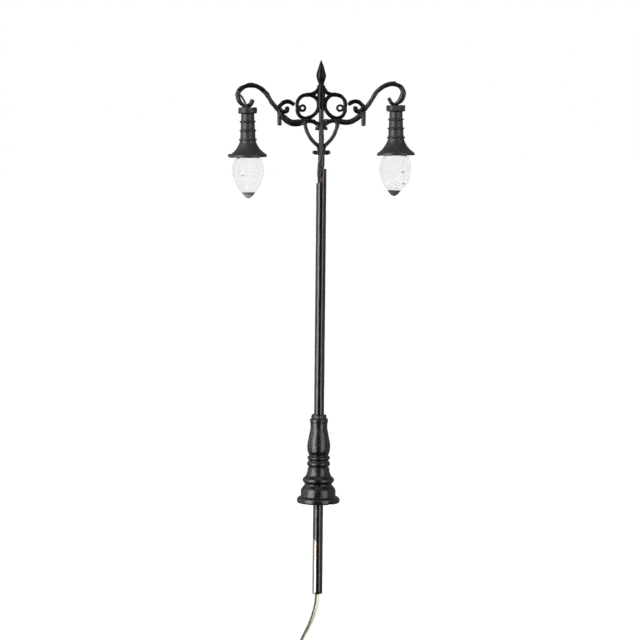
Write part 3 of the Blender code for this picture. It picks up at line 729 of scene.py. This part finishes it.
def build_floor():
    """A plain pale floor. Most of its white is its own light, so that it isn't overexposed."""
    glow = {"Emission_Color": (1.0, 1.0, 1.0, 1.0), "Emission_Strength": 0.98}
    made, shader, here = material("floor_white", Roughness=0.9, Specular_IOR_Level=0.1, **glow)
    plug(mixed(grain(here, 0.02), (0.13, 0.13, 0.13), (0.15, 0.15, 0.149)), shader.inputs["Base Color"])
    shape = bmesh.new()
    bmesh.ops.create_grid(shape, x_segments=1, y_segments=1, size=FLOOR_HALF)
    floor = mesh_object("floor", shape)
    floor.data.materials.append(made)
    floor.location.z = cad_low.z - FLOOR_DROP
    floor.visible_diffuse = floor.visible_glossy = False


FLOOR_HALF, FLOOR_DROP, SOFTBOX_DISTANCE = 6.0, 0.0002, 0.7  # in metres
ROOM_FRONT, ROOM_BACK = 0.05, 0.3
build_world()
build_floor()
build_softbox("left", -54.0, 6.0, 0.48, 0.9, 8.0)
build_softbox("right", 43.0, 6.0, 0.36, 0.9, 4.0)
build_softbox("far_left", -102.0, 14.0, 0.5, 0.9, 1.0)
build_softbox("far_right", 92.0, 6.0, 0.4, 0.9, 0.5)
build_softbox("top", 0.0, 80.0, 0.5, 0.5, 0.7, (1.0, 1.0, 1.0))
bpy.context.scene.view_settings.view_transform = "Standard"


# The mast and its base


def build_mast():
    """The tube, waving a little, with its notch at the top and a burr at its lower end."""
    bore = MAST_R - 0.2
    low, high = MAST_LOW.z, MAST_HIGH.z
    corners = [(MAST_R - 0.03, high), (MAST_R, high - 0.03), (MAST_R, low + 0.04), (MAST_R - 0.03, low)]
    outside = finer(corners, 0.35)
    inside = finer([(bore, low), (bore, high)], 2.0)
    shape = turned([*outside, *inside], steps=72, closed=True)
    rough(shape, 0.012, 0.6, 3.0, weight=lambda p: float(p.xy.length > bore + 0.1))
    rough(shape, 0.05, 4.0, 8.0, weight=lambda p: 1.0 - between(p.z, low, low + 0.3))
    face_outwards(shape)
    raw = mesh_object("mast_raw", shape)
    block = bmesh.new()
    bmesh.ops.create_cube(block, size=1.0)
    bmesh.ops.scale(block, vec=(4.0, 2.0, 4.0), verts=block.verts)
    bmesh.ops.translate(block, vec=(0.0, -NOTCH_DEPTH - 1.0, NOTCH_FLOOR_Z + 2.0), verts=block.verts)
    bmesh.ops.rotate(block, cent=(0, 0, 0), matrix=NOTCH_TURN, verts=block.verts)
    cut = raw.modifiers.new("notch", "BOOLEAN")
    cut.object = mesh_object("notch", block)
    cut.operation = "DIFFERENCE"
    cut.solver = "EXACT"
    new_piece("mast", with_modifiers(raw, cut.object), MAST_PAINT, "mast_tube", sharp=40)


NOTCH_FLOOR_Z, NOTCH_DEPTH, NOTCH_FACING = 47.9, 0.227, 59.0
NOTCH_TURN = Matrix.Rotation(radians(-NOTCH_FACING), 3, "Z")

# Turned profiles run down the outer side: (radius, height)
PEDESTAL = (
    (0.98, 13.28), (1.1, 13.24), (1.13, 13.12), (1.13, 12.72), (1.34, 12.6), (1.37, 12.38),
    (1.34, 12.15), (1.28, 11.9), (1.27, 11.1), (1.49, 10.1), (1.67, 9.1), (1.73, 8.45),
    (1.67, 7.8), (1.5, 7.3), (1.38, 7.15), (1.65, 6.95), (1.71, 6.76), (1.62, 6.52),
    (1.44, 6.35), (1.68, 6.1), (1.75, 5.85), (1.67, 5.6), (1.44, 5.42), (1.63, 5.22),
    (1.64, 4.75), (1.87, 4.1), (2.31, 3.65), (2.39, 3.4), (2.27, 3.12), (1.98, 2.85),
    (2.12, 2.6), (2.47, 2.2), (2.61, 1.88), (2.61, 0.95), (2.9, 0.88), (3.13, 0.74),
    (3.21, 0.5), (3.19, 0.12), (3.07, 0.0),
)
SPEAR = (
    (0.0, 66.2), (0.09, 66.05), (0.4, 65.15), (0.62, 64.45), (0.76, 63.9), (0.68, 63.45),
    (0.5, 62.9), (0.39, 62.6), (0.43, 62.2), (0.55, 61.75), (0.61, 61.4), (0.61, 59.0),
)
SHADE_OUTSIDE = (
    (1.28, 59.3), (1.39, 59.2), (1.39, 58.5), (1.28, 58.4), (0.97, 58.36), (1.01, 57.34),
    (1.21, 57.28), (1.21, 57.12), (1.03, 57.06), (1.07, 56.04), (1.27, 55.98), (1.27, 55.82),
    (1.1, 55.76), (1.14, 54.7), (1.36, 54.63), (1.36, 54.47), (1.2, 54.4), (1.24, 54.15),
    (1.38, 53.8), (1.54, 53.5), (1.72, 53.2), (1.98, 52.9), (2.14, 52.75), (2.32, 52.6),
    (2.51, 52.45), (2.73, 52.33), (2.81, 52.2), (2.81, 51.88),
)
SHADE_INSIDE = (
    (2.5, 51.88), (2.3, 52.04), (1.53, 52.38), (1.53, 52.8), (1.0, 52.84), (1.0, 54.5),
    (0.52, 54.55), (0.52, 59.3),
)
GLOBE_OUTSIDE = (
    (1.78, 52.1), (1.92, 51.8), (2.17, 51.05), (2.32, 50.35), (2.35, 49.9), (2.3, 49.35),
    (2.07, 48.5), (1.76, 47.8), (1.38, 47.2), (1.02, 46.72),
)
GLOBE_INSIDE = (
    (0.85, 47.02), (1.45, 47.85), (1.78, 48.6), (2.01, 49.4), (2.06, 49.9),
    (2.03, 50.3), (1.88, 50.95), (1.6, 51.75), (1.24, 52.2),
)
GLOBE_STEPS = 96
GLOBE_BULGE = 0.11  # how much fuller the right globe is on its outer side, low down
GLOBE_TIP = ((1.02, 46.7), (0.71, 46.27), (0.37, 45.94), (0.14, 45.82), (0.0, 45.8))

# Routes in the plane of the bracket: (distance from the axis, height)
ARM_ROUTE = (
    (0.84, 55.98), (0.62, 56.04), (0.47, 56.33), (0.62, 56.72), (1.35, 57.1), (2.1, 57.2),
    (3.1, 57.0), (4.15, 56.95), (5.05, 57.35), (5.85, 58.05), (6.4, 58.78), (7.0, 59.5),
    (7.55, 60.3), (8.25, 61.4), (9.2, 62.22), (10.5, 62.62), (11.65, 62.27), (12.3, 61.6),
    (12.4, 61.0), (12.15, 60.2), (11.7, 59.72), (11.1, 59.5), (10.5, 59.78), (10.25, 60.3),
)
RIGHT_HOOK = (
    (12.13, 61.6), (12.17, 61.0), (11.93, 60.32), (11.5, 59.78), (11.0, 59.42), (10.42, 59.68), (10.05, 60.3),
)
ARM_STEPS = 8
ROOT_KNOT, FREE_KNOT, LOW_KNOT = 5, 17, 20
SCROLL_LOOP = (
    (2.1, 61.02), (2.85, 60.84), (3.4, 60.3), (3.59, 59.58), (3.5, 59.07), (3.53, 58.6),
    (3.28, 58.04), (2.85, 57.69), (2.3, 57.55), (1.65, 57.72), (1.1, 58.18), (0.69, 58.8),
    (0.55, 59.5), (0.66, 60.12), (1.03, 60.64), (1.5, 60.94),
)
LEFT_LOOP_PULL = 0.17  # how much nearer the column the left loop's inner side is than the right one's
SCROLL_TAIL = ((0.3, 62.4), (0.46, 61.85), (0.88, 61.33), (1.5, 61.08), (2.1, 61.02))
EYELET_X, EYELET_Z, EYELET_RING_R, EYELET_WIRE_R, EYELET_STEPS = 2.79, 59.05, 0.41, 0.185, 28
CURL_ARCH = (
    (6.42, 58.75), (6.3, 59.15), (6.05, 59.48), (5.6, 59.9), (5.05, 60.05), (4.5, 59.89), (4.08, 59.6),
)
CURL_HOOK = ((6.3, 58.82), (5.95, 58.68), (5.55, 58.52), (5.22, 58.62), (5.06, 58.88), (5.12, 59.12))
HEART_ROUTE = ((2.33, 57.1), (2.37, 56.4), (2.05, 55.45), (1.58, 54.6), (0.95, 53.86), (0.45, 53.45))
ROD_R, ROD_PAINT = 0.36, 0.02
# The bars' radii, under their paint
ARM_R, SCROLL_R, HEART_R, CURL_R, HOOK_R, PIN_R = 0.34, 0.295, 0.28, 0.32, 0.34, 0.34
LOWER_RUN, LOWER_RUN_PAINT = (1.6, 2.6, 5.4, 6.4), 0.07  # where the arms carry more paint, and how much


def lump(shape, spot, radius, height):
    """Raises one smooth lump round a spot of a shape."""
    face_outwards(shape)
    pushed(shape, lambda p: height * (1.0 - between((p - Vector(spot)).length, 0.0, radius)))


def lower_run(p):
    """How much thicker the paint on an arm is at a point of its line."""
    return LOWER_RUN_PAINT * within(abs(p.x), *LOWER_RUN)


def build_pedestal():
    bore = MAST_R + 0.02
    profile = finer([*softened(PEDESTAL, 0.14), (bore, 0.0), (bore, PEDESTAL[0][1])], 0.16)
    shape = turned(profile, steps=112, closed=True)
    on_skin = lambda p: float(p.xy.length > bore + 0.05)
    rough(shape, 0.03, 0.8, 11.0, weight=on_skin)
    rough(shape, 0.07, 2.6, 5.0, weight=lambda p: on_skin(p) * between(p.z, 12.2, 12.9))
    rough(shape, 0.02, 5.0, 7.0, weight=on_skin)
    lump(shape, (1.1, -0.5, 12.95), 0.55, -0.16)
    lump(shape, (1.9, -2.6, 0.1), 0.5, -0.1)
    new_piece("pedestal", shape, PEDESTAL_PLASTIC, "base_pedestal", sharp=50)


# The rod and what sits on it


def build_rod():
    """The rod under its paint, which has run together in front, between the lamp wires."""
    low, high = reach("core_rod")
    radius = ROD_R + ROD_PAINT
    profile = finer([(0.0, high.z), (radius, high.z), (radius, low.z), (0.0, low.z)], 0.12)
    shape = turned(profile, steps=40)

    def paint(p):
        in_front = between(-p.y, 0.0, 0.3) * within(p.z, 50.0, 50.6, 56.9, 57.8)
        film = max(0.0, 0.05 + 0.11 * noise.noise(Vector((0.8 * p.x, 0.0, 1.1 * p.z))))
        return film * in_front + 0.09 * within(p.z, 50.1, 50.5, 51.8, 52.6)

    face_outwards(shape)
    pushed(shape, paint)
    rough(shape, 0.035, 1.7, 2.0, weight=lambda p: between(p.z, 50.0, 51.0))
    new_piece("rod", shape, PAINT_LUMPY, "core_rod", sharp=60)


def build_finial():
    profile = finer([*softened(SPEAR, 0.16), (0.4, 59.0), (0.4, 59.6)], 0.12)
    shape = turned(profile, steps=48)
    rough(shape, 0.05, 1.2, 9.0, weight=lambda p: 1.0 - between(p.z, 65.4, 66.0))
    new_piece("finial", shape, PAINT_DULL, "spear_finial", sharp=60)


def build_ladder_bar():
    """The collar with its two short arms, open in front where the wires pass."""
    low, high = reach("ladder_bar")
    middle_z = 52.46
    shape = bmesh.new()
    arc = [radians(a) for a in range(-52, 233, 12)]
    for z in (low.z + 0.2, (low.z + high.z) / 2, high.z - 0.2):
        ring = [Vector((0.5 * cos(a), 0.5 * sin(a), z)) for a in arc]
        add_tube(shape, ring, 0.2, sides=14, dome=0.8)
    for side in (-1, 1):
        ends = [Vector((side * x, 0.0, middle_z)) for x in (0.44, 0.62, 0.85, 1.0, 1.12, high.x - 0.1)]
        add_tube(shape, ends, [0.28, 0.31, 0.33, 0.33, 0.3, 0.2], sides=18, dome=0.5)
    shape = fused(shape, voxel=0.04)
    rough(shape, 0.05, 1.6, 4.0)
    new_piece("ladder", shape, PAINT_LUMPY, "ladder_bar")


# The bracket


def arm_route(side):
    """The arm's route. The right arm's end is bent tighter than the left one's."""
    return ARM_ROUTE if side < 0 else (*ARM_ROUTE[: -len(RIGHT_HOOK)], *RIGHT_HOOK)


def in_plane(route, side):
    """A route of the bracket as points in space, on the left (side -1) or on the right (side 1)."""
    return [(side * x, 0.0, z) for x, z in route]


def flared(count, radius, start, end, share=0.14):
    """Radii along a line, with factors at its ends, where paint has pooled or the wire thins."""
    radii = []
    for i in range(count):
        t = i / (count - 1)
        from_start, from_end = 1.0 - between(t, 0.0, share), 1.0 - between(1.0 - t, 0.0, share)
        radii.append(radius * (1.0 + (start - 1.0) * from_start + (end - 1.0) * from_end))
    return radii


def build_arm(word, side):
    line = smooth(in_plane(arm_route(side), side), ARM_STEPS)
    radii = flared(len(line), ARM_R, 0.68, 1.0, share=0.1)
    radii = [radius + lower_run(here) for radius, here in zip(radii, line)]
    if side > 0:
        thick, spread = 18.6 * ARM_STEPS, 1.3 * ARM_STEPS
        for i in range(len(line)):
            radii[i] *= 1.0 + 0.36 * exp(-(((i - thick) / spread) ** 2))
            radii[i] *= 1.0 - 0.25 * between(i / ARM_STEPS, 19.6, 20.8)
    shape = tube(line, radii, sides=24)
    if side < 0:
        rough(shape, 0.1, 1.25, 21.0)
        rough(shape, 0.02, 3.2, 23.0)
        lump(shape, (-1.0, -0.3, 57.35), 0.5, 0.16)
        lump(shape, (-6.15, -0.2, 58.6), 0.45, 0.12)
    else:
        rough(shape, 0.06, 1.1, 27.0)
        rough(shape, 0.02, 3.5, 29.0)
        lump(shape, (10.9, 0.0, 62.95), 0.35, 0.12)
    skin = PAINT_LUMPY if side < 0 else PAINT_EVEN
    new_piece(f"bracket_arm_{word}", shape, skin, f"arm_{word}")


def build_scroll(word, side):
    shape = bmesh.new()
    pull = LEFT_LOOP_PULL if side < 0 else 0.0
    route = [(x - pull * (1.0 - between(x, 0.7, 2.1)), z) for x, z in SCROLL_LOOP]
    loop = smooth(in_plane(route, side), 5, cyclic=True)
    add_tube(shape, loop, SCROLL_R, cyclic=True)
    tail = smooth(in_plane(SCROLL_TAIL, side), 6)
    add_tube(shape, tail, flared(len(tail), SCROLL_R, 0.85, 1.15, share=0.9))
    turns = [tau * k / EYELET_STEPS for k in range(EYELET_STEPS)]
    eyelet = [(EYELET_X + EYELET_RING_R * cos(a), EYELET_Z + EYELET_RING_R * sin(a)) for a in turns]
    add_tube(shape, in_plane(eyelet, side), EYELET_WIRE_R, sides=14, cyclic=True)
    shape = fused(shape)
    rough(shape, 0.05, 1.3, 31.0 + side)
    new_piece(f"bracket_scroll_{word}", shape, PAINT_DULL, f"scroll_{word}")


def build_curl(word, side):
    shape = bmesh.new()
    arch = smooth(in_plane(CURL_ARCH, side), 6)
    add_tube(shape, arch, flared(len(arch), CURL_R, 1.55, 0.95, share=0.3), dome=0.4)
    hook = smooth(in_plane(CURL_HOOK, side), 6)
    add_tube(shape, hook, flared(len(hook), HOOK_R, 1.5, 1.05, share=0.35))
    shape = fused(shape)
    rough(shape, 0.06, 1.5, 35.0 + side)
    new_piece(f"bracket_curl_{word}", shape, PAINT_DULL, f"curl_{word}")


def build_pin(word, side):
    low, high = reach(f"drop_pin_{word}")
    x = (low.x + high.x) / 2 + (0.08 if side < 0 else 0.0)
    bottom = low.z + (0.05 if side < 0 else -0.07)
    count = 14
    line = [Vector((x, 0.0, bottom + (high.z + 0.15 - bottom) * i / (count - 1))) for i in range(count)]
    shape = tube(line, flared(count, PIN_R - 0.01, 0.98, 1.1), sides=22, dome=0.2)
    rough(shape, 0.04, 1.6, 39.0 + side)
    new_piece(f"bracket_pin_{word}", shape, PAINT_EVEN, f"drop_pin_{word}")


def build_heart(word, side):
    line = smooth(in_plane(HEART_ROUTE, side), 8)
    shape = tube(line, flared(len(line), HEART_R, 1.3, 1.15), sides=20)
    rough(shape, 0.045, 1.3, 43.0 + side)
    new_piece(f"bracket_heart_{word}", shape, PAINT_EVEN, f"heart_{word}")


# The lamps


LAMP_SHIFT = {-1: 0.16, 1: 0.0}  # how far each lamp hangs off its place, along X
SHADE_LEAN = {-1: 0.3, 1: 0.0}  # degrees by which each lamp's foot leans towards +X
GLOBE_LEAN = {-1: 0.0, 1: -2.9}  # and by which its globe leans in its shade
SHADE_PIVOT_Z, GLOBE_PIVOT_Z = 59.3, 52.3


def hang(shape, side, centre_x, in_shade=False):
    """Leans and shifts a piece of a lamp, as it really hangs. in_shade: the shade holds it."""
    leans = [(GLOBE_PIVOT_Z, GLOBE_LEAN[side])] if in_shade else []
    for pivot_z, degrees in (*leans, (SHADE_PIVOT_Z, SHADE_LEAN[side])):
        turn = Matrix.Rotation(radians(-degrees), 3, "Y")
        bmesh.ops.rotate(shape, cent=(centre_x, 0.0, pivot_z), matrix=turn, verts=shape.verts)
    bmesh.ops.translate(shape, vec=(LAMP_SHIFT[side], 0.0, 0.0), verts=shape.verts)


def build_shade(word, side, centre_x):
    top, bottom = SHADE_OUTSIDE[0][1], SHADE_OUTSIDE[-1][1]
    profile = finer(softened([*SHADE_OUTSIDE, *SHADE_INSIDE], 0.07), 0.14)
    shape = turned(profile, steps=104, centre_x=centre_x, closed=True)
    axis = Vector((centre_x, 0.0, 0.0))
    outer = lambda p: float((p - axis).xy.length > 0.9)
    rough(shape, 0.025, 0.9, 51.0 + side, weight=outer)
    rough(shape, 0.09, 1.6, 53.0 + side, weight=lambda p: outer(p) * between(p.z, top - 1.1, top - 0.5))
    rim = lambda p: outer(p) * (1.0 - between(p.z, bottom + 0.2, bottom + 0.7))
    rough(shape, 0.014, 2.6, 57.0 + side, weight=rim)
    if side < 0:
        lump(shape, (centre_x - 2.81, -0.1, 52.22), 0.34, 0.27)
    hang(shape, side, centre_x)
    new_piece(f"lamp_shade_{word}", shape, SHADE_PLASTIC, f"shade_{word}", sharp=45)


def smooth_profile(profile, per_span):
    """A (radius, height) profile as a smooth curve through its points."""
    return [Vector((p.x, p.z)) for p in smooth([(r, 0.0, z) for r, z in profile], per_span)]


def build_globe(word, side, centre_x, skin):
    """A thin clear egg, open above, with the slow waves of a moulding in its walls."""
    inside = [(0.0, 47.0), (0.5, 47.0), *smooth_profile(GLOBE_INSIDE, 6)]
    neck = [(1.24, 52.76), (1.5, 52.76), (1.5, 52.32)]
    outside = [*smooth_profile(GLOBE_OUTSIDE, 6), (0.5, 46.7), (0.0, 46.7)]
    shape = turned([*inside, *neck, *outside], steps=GLOBE_STEPS, centre_x=centre_x)
    outer_wall = shape.verts.layers.float.new(OUTER_WALL)
    shape.verts.ensure_lookup_table()
    inside_count = 1 + GLOBE_STEPS * (len(inside) - 1)
    for vertex in shape.verts[inside_count:]:
        vertex[outer_wall] = 1.0
    axis = Vector((centre_x, 0.0, 0.0))
    for vertex in shape.verts:
        out = vertex.co - axis
        turn = atan2(out.y, out.x)
        wave = sin(5 * turn + side) + 0.6 * sin(11 * turn + 2.0 * side) + 0.4 * sin(17 * turn)
        size = 0.007 * within(vertex.co.z, 46.9, 48.0, 51.2, 52.2)
        factor = 1.0 + size * wave * (1.0 if out.xy.length > 1.9 else 0.5)
        if side > 0:
            factor += GLOBE_BULGE * max(0.0, cos(turn)) * exp(-(((vertex.co.z - 47.9) / 0.8) ** 2))
        vertex.co.x = axis.x + out.x * factor
        vertex.co.y = out.y * factor
    rough(shape, 0.012, 0.5, 61.0 + side)
    hang(shape, side, centre_x, in_shade=True)
    new_piece(f"lamp_globe_{word}", shape, skin, f"globe_{word}", sharp=50)


def build_tip(word, side, centre_x, skin):
    profile = [(0.0, 46.72), (0.6, 46.72), *smooth_profile(GLOBE_TIP, 5)]
    profile[-1] = GLOBE_TIP[-1]
    shape = turned(finer(profile, 0.12), steps=56, centre_x=centre_x)
    rough(shape, 0.04, 1.4, 67.0 + side)
    hang(shape, side, centre_x, in_shade=True)
    new_piece(f"lamp_tip_{word}", shape, skin, f"globe_tip_{word}", sharp=60)


def build_lamps():
    skins = (("left", -1, CLEAR_LEFT, TIP_LEFT_PLASTIC), ("right", 1, CLEAR_RIGHT, TIP_RIGHT_PLASTIC))
    for word, side, globe_skin, tip_skin in skins:
        low, high = reach(f"shade_{word}")
        centre_x = (low.x + high.x) / 2
        build_shade(word, side, centre_x)
        build_globe(word, side, centre_x, globe_skin)
        build_tip(word, side, centre_x, tip_skin)


# The wiring. Each lamp has two wires, and the four run down the rod side by side.

ROD_ANGLES = (-33.0, -11.0, 11.0, 33.0)  # their places round the rod, from the front towards +X
ROD_HEIGHTS = (55.6, 54.4, 53.2, 51.9)
TWIST, TWIST_HEIGHT = -45.0, 4.0  # they turn by this much below the ladder bar, over this height
TWIST_SHARES = (0.3, 0.6, 0.85, 1.0)
# As they turn they fan out: by these factors, and off the rod by these distances times each one's share
FAN_ANGLES, FAN_OFFS, FAN_SHARES = (1.3, 1.6, 1.3, 1.0), (0.07, 0.11, 0.04, 0.0), (1.0, 1.0, 0.4, 0.0)
WIRE_STEPS = 2  # points on the arm's line for each stretch of its route, for the wires that follow it
WIRE_SPREAD = 12.5  # half the angle between two wires round an arm
ARM_CLEARANCE, ROD_CLEARANCE = 0.035, 0.028
# The left wires' angle round the arm at its knots from ROOT_KNOT outwards: they run along its underside
LEFT_ROLL = (0.0, 60.0, 72.0, 58.0, 26.0, 0.0, 0.0, 0.0, 0.0, 0.0, 0.0, 0.0, 0.0)
# From the lamp's LED up through its shade: (x from the lamp's axis, y from the bracket's plane, z)
IN_SHADE = ((0.5, 0.02, 54.34), (0.35, 0.2, 54.62), (0.1, 0.38, 55.2), (0.1, 0.4, 59.4))
# From each arm's inner end to the rod
LEFT_CROSSING = ((-0.9, -0.46, 56.82), (-0.52, -0.48, 56.6))
LEFT_APART = ((0.0, 0.0, 0.22), (0.06, 0.0, 0.24))
LEFT_LANDING_Z, LEFT_LANDING_APART = 56.2, 0.3
RIGHT_CROSSING = ((1.2, 0.44, 57.12), (0.76, 0.34, 57.2), (0.52, 0.05, 57.2), (0.47, -0.24, 57.08))
RIGHT_LANDING_Z, RIGHT_APART = 56.6, 0.19
ABOVE_SPLICES = ((-0.41, -0.06, 44.15), (-0.12, 0.12, 44.15), (-0.2, -0.26, 44.15), (0.15, -0.26, 44.15))
LAMP_WIRE_R = 0.075
LAMP_X = 11.1
BORE_HEIGHTS = (46.5, 44.9)  # inside the mast, beside the rod's end
SPLICE_TOP_Z, SPLICE_X, SPLICE_PITCH = 43.4, 0.26, 0.18


def beside_rod(angle, z, off=0.0):
    """A lamp wire's place beside the rod. The angle is from the front, towards +X."""
    turn = radians(angle)
    radius = ROD_R + LAMP_WIRE_R + ROD_CLEARANCE + off
    return Vector((radius * sin(turn), -radius * cos(turn), z))


def along_arm(side, across):
    """A wire's places along its arm, inwards: in front of the left arm and below it, or behind the right."""
    line = smooth(in_plane(arm_route(side), side), WIRE_STEPS)
    start, end = ROOT_KNOT * WIRE_STEPS, (FREE_KNOT if side < 0 else LOW_KNOT) * WIRE_STEPS
    rolls = [*LEFT_ROLL, LEFT_ROLL[-1]]
    places = []
    for i in range(start, end + 1):
        angle = 180.0 - across * WIRE_SPREAD
        if side < 0:
            knot, share = divmod(i - start, WIRE_STEPS)
            angle = across * WIRE_SPREAD + rolls[knot] + (rolls[knot + 1] - rolls[knot]) * share / WIRE_STEPS
        turn = radians(angle)
        ahead = line[i + 1] - line[i - 1]
        normal = Vector((-ahead.z, 0.0, ahead.x)).normalized()
        radius = ARM_R + lower_run(line[i]) + (LAMP_WIRE_R + ARM_CLEARANCE)
        places.append(line[i] + radius * (sin(turn) * normal + Vector((0.0, -cos(turn), 0.0))))
    return places[::-1]


def onto_rod(side, order):
    """From the arm's inner end to the front of the rod, where each wire arrives at its own height."""
    if side < 0:
        crossing = [Vector(p) + order * Vector(step) for p, step in zip(LEFT_CROSSING, LEFT_APART)]
        return [*crossing, beside_rod(ROD_ANGLES[order], LEFT_LANDING_Z + LEFT_LANDING_APART * order)]
    lift = RIGHT_APART * (3 - order)
    crossing = [Vector((x, y, z + lift)) for x, y, z in RIGHT_CROSSING]
    return [*crossing, beside_rod(ROD_ANGLES[order], RIGHT_LANDING_Z + lift)]


def lamp_wire_line(side, order):
    """One wire's line, from the LED to its splice. order: 0 to 3, from left to right on the rod."""
    across = 1.0 if order % 2 == 0 else -1.0
    in_shade = [Vector((side * LAMP_X + across * x, side * y, z)) for x, y, z in IN_SHADE]
    angle = ROD_ANGLES[order]
    down_rod = [beside_rod(angle, z) for z in ROD_HEIGHTS]
    turning = []
    for share, fan, off in zip(TWIST_SHARES, FAN_ANGLES, FAN_OFFS):
        z = ROD_HEIGHTS[-1] - TWIST_HEIGHT * share
        turning.append(beside_rod(fan * angle + TWIST * share, z, off * FAN_SHARES[order]))
    down_bore = [beside_rod(angle + TWIST, z) for z in BORE_HEIGHTS]
    end_x = -across * SPLICE_X + side * SPLICE_PITCH / 2
    end = (Vector(ABOVE_SPLICES[order]), Vector((end_x, 0.0, SPLICE_TOP_Z + 0.05)))
    on_arm = [*in_shade, *along_arm(side, across), *onto_rod(side, order)]
    return [*on_arm, *down_rod, *turning, *down_bore, *end]


def build_lamp_wires():
    """The four wires, with lumps of paint where they run on the bracket."""
    for order, ends in enumerate(("left_a", "left_b", "right_a", "right_b")):
        line = smooth(lamp_wire_line(-1 if order < 2 else 1, order), 5)
        radii = []
        for here in line:
            painted = between(here.z, 49.6, 50.6) * (1.0 if abs(here.x) < LAMP_X - 1 or here.z > 60 else 0.0)
            swell = 0.5 + noise.noise(here * 1.4 + Vector((7.0 * order, 0.0, 0.0)))
            radii.append(LAMP_WIRE_R * (1.0 + painted * max(0.0, 0.55 * swell)))
        shape = tube(line, radii, sides=12)
        new_piece(f"fine_wire_{ends}", shape, WIRE_PAINT, f"lamp_wire_{ends}")


def build_red_sleeve():
    """A short soft tube on the front wire, where it goes into the mast."""
    low, high = reach("red_sleeve")
    line = smooth(lamp_wire_line(1, 3), 5)
    inside = [p for p in line if low.z + 0.05 <= p.z <= high.z - 0.05 and abs(p.x) < 2]
    shape = tube(inside, 0.1, sides=16, dome=0.35)
    rough(shape, 0.02, 5.0, 71.0)
    new_piece("wire_sleeve", shape, SLEEVE_RED, "red_sleeve")


def dress_inside():
    """Gives the CAD pieces that don't show their materials. Their shape is right as it is."""
    for name, skin in (
        ("led_left", LED_RESIN), ("led_right", LED_RESIN), ("splice_dark", SHRINK), ("splice_yellow", SHRINK),
        ("feed_wire_dark", LEAD_DARK), ("feed_wire_yellow", LEAD_YELLOW),
    ):
        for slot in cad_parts[name].material_slots:
            slot.material = skin


build_mast()
build_pedestal()
build_rod()
build_finial()
build_ladder_bar()
for word, side in (("left", -1), ("right", 1)):
    for build in (build_arm, build_scroll, build_curl, build_pin, build_heart):
        build(word, side)
build_lamps()
build_lamp_wires()
build_red_sleeve()
dress_inside()
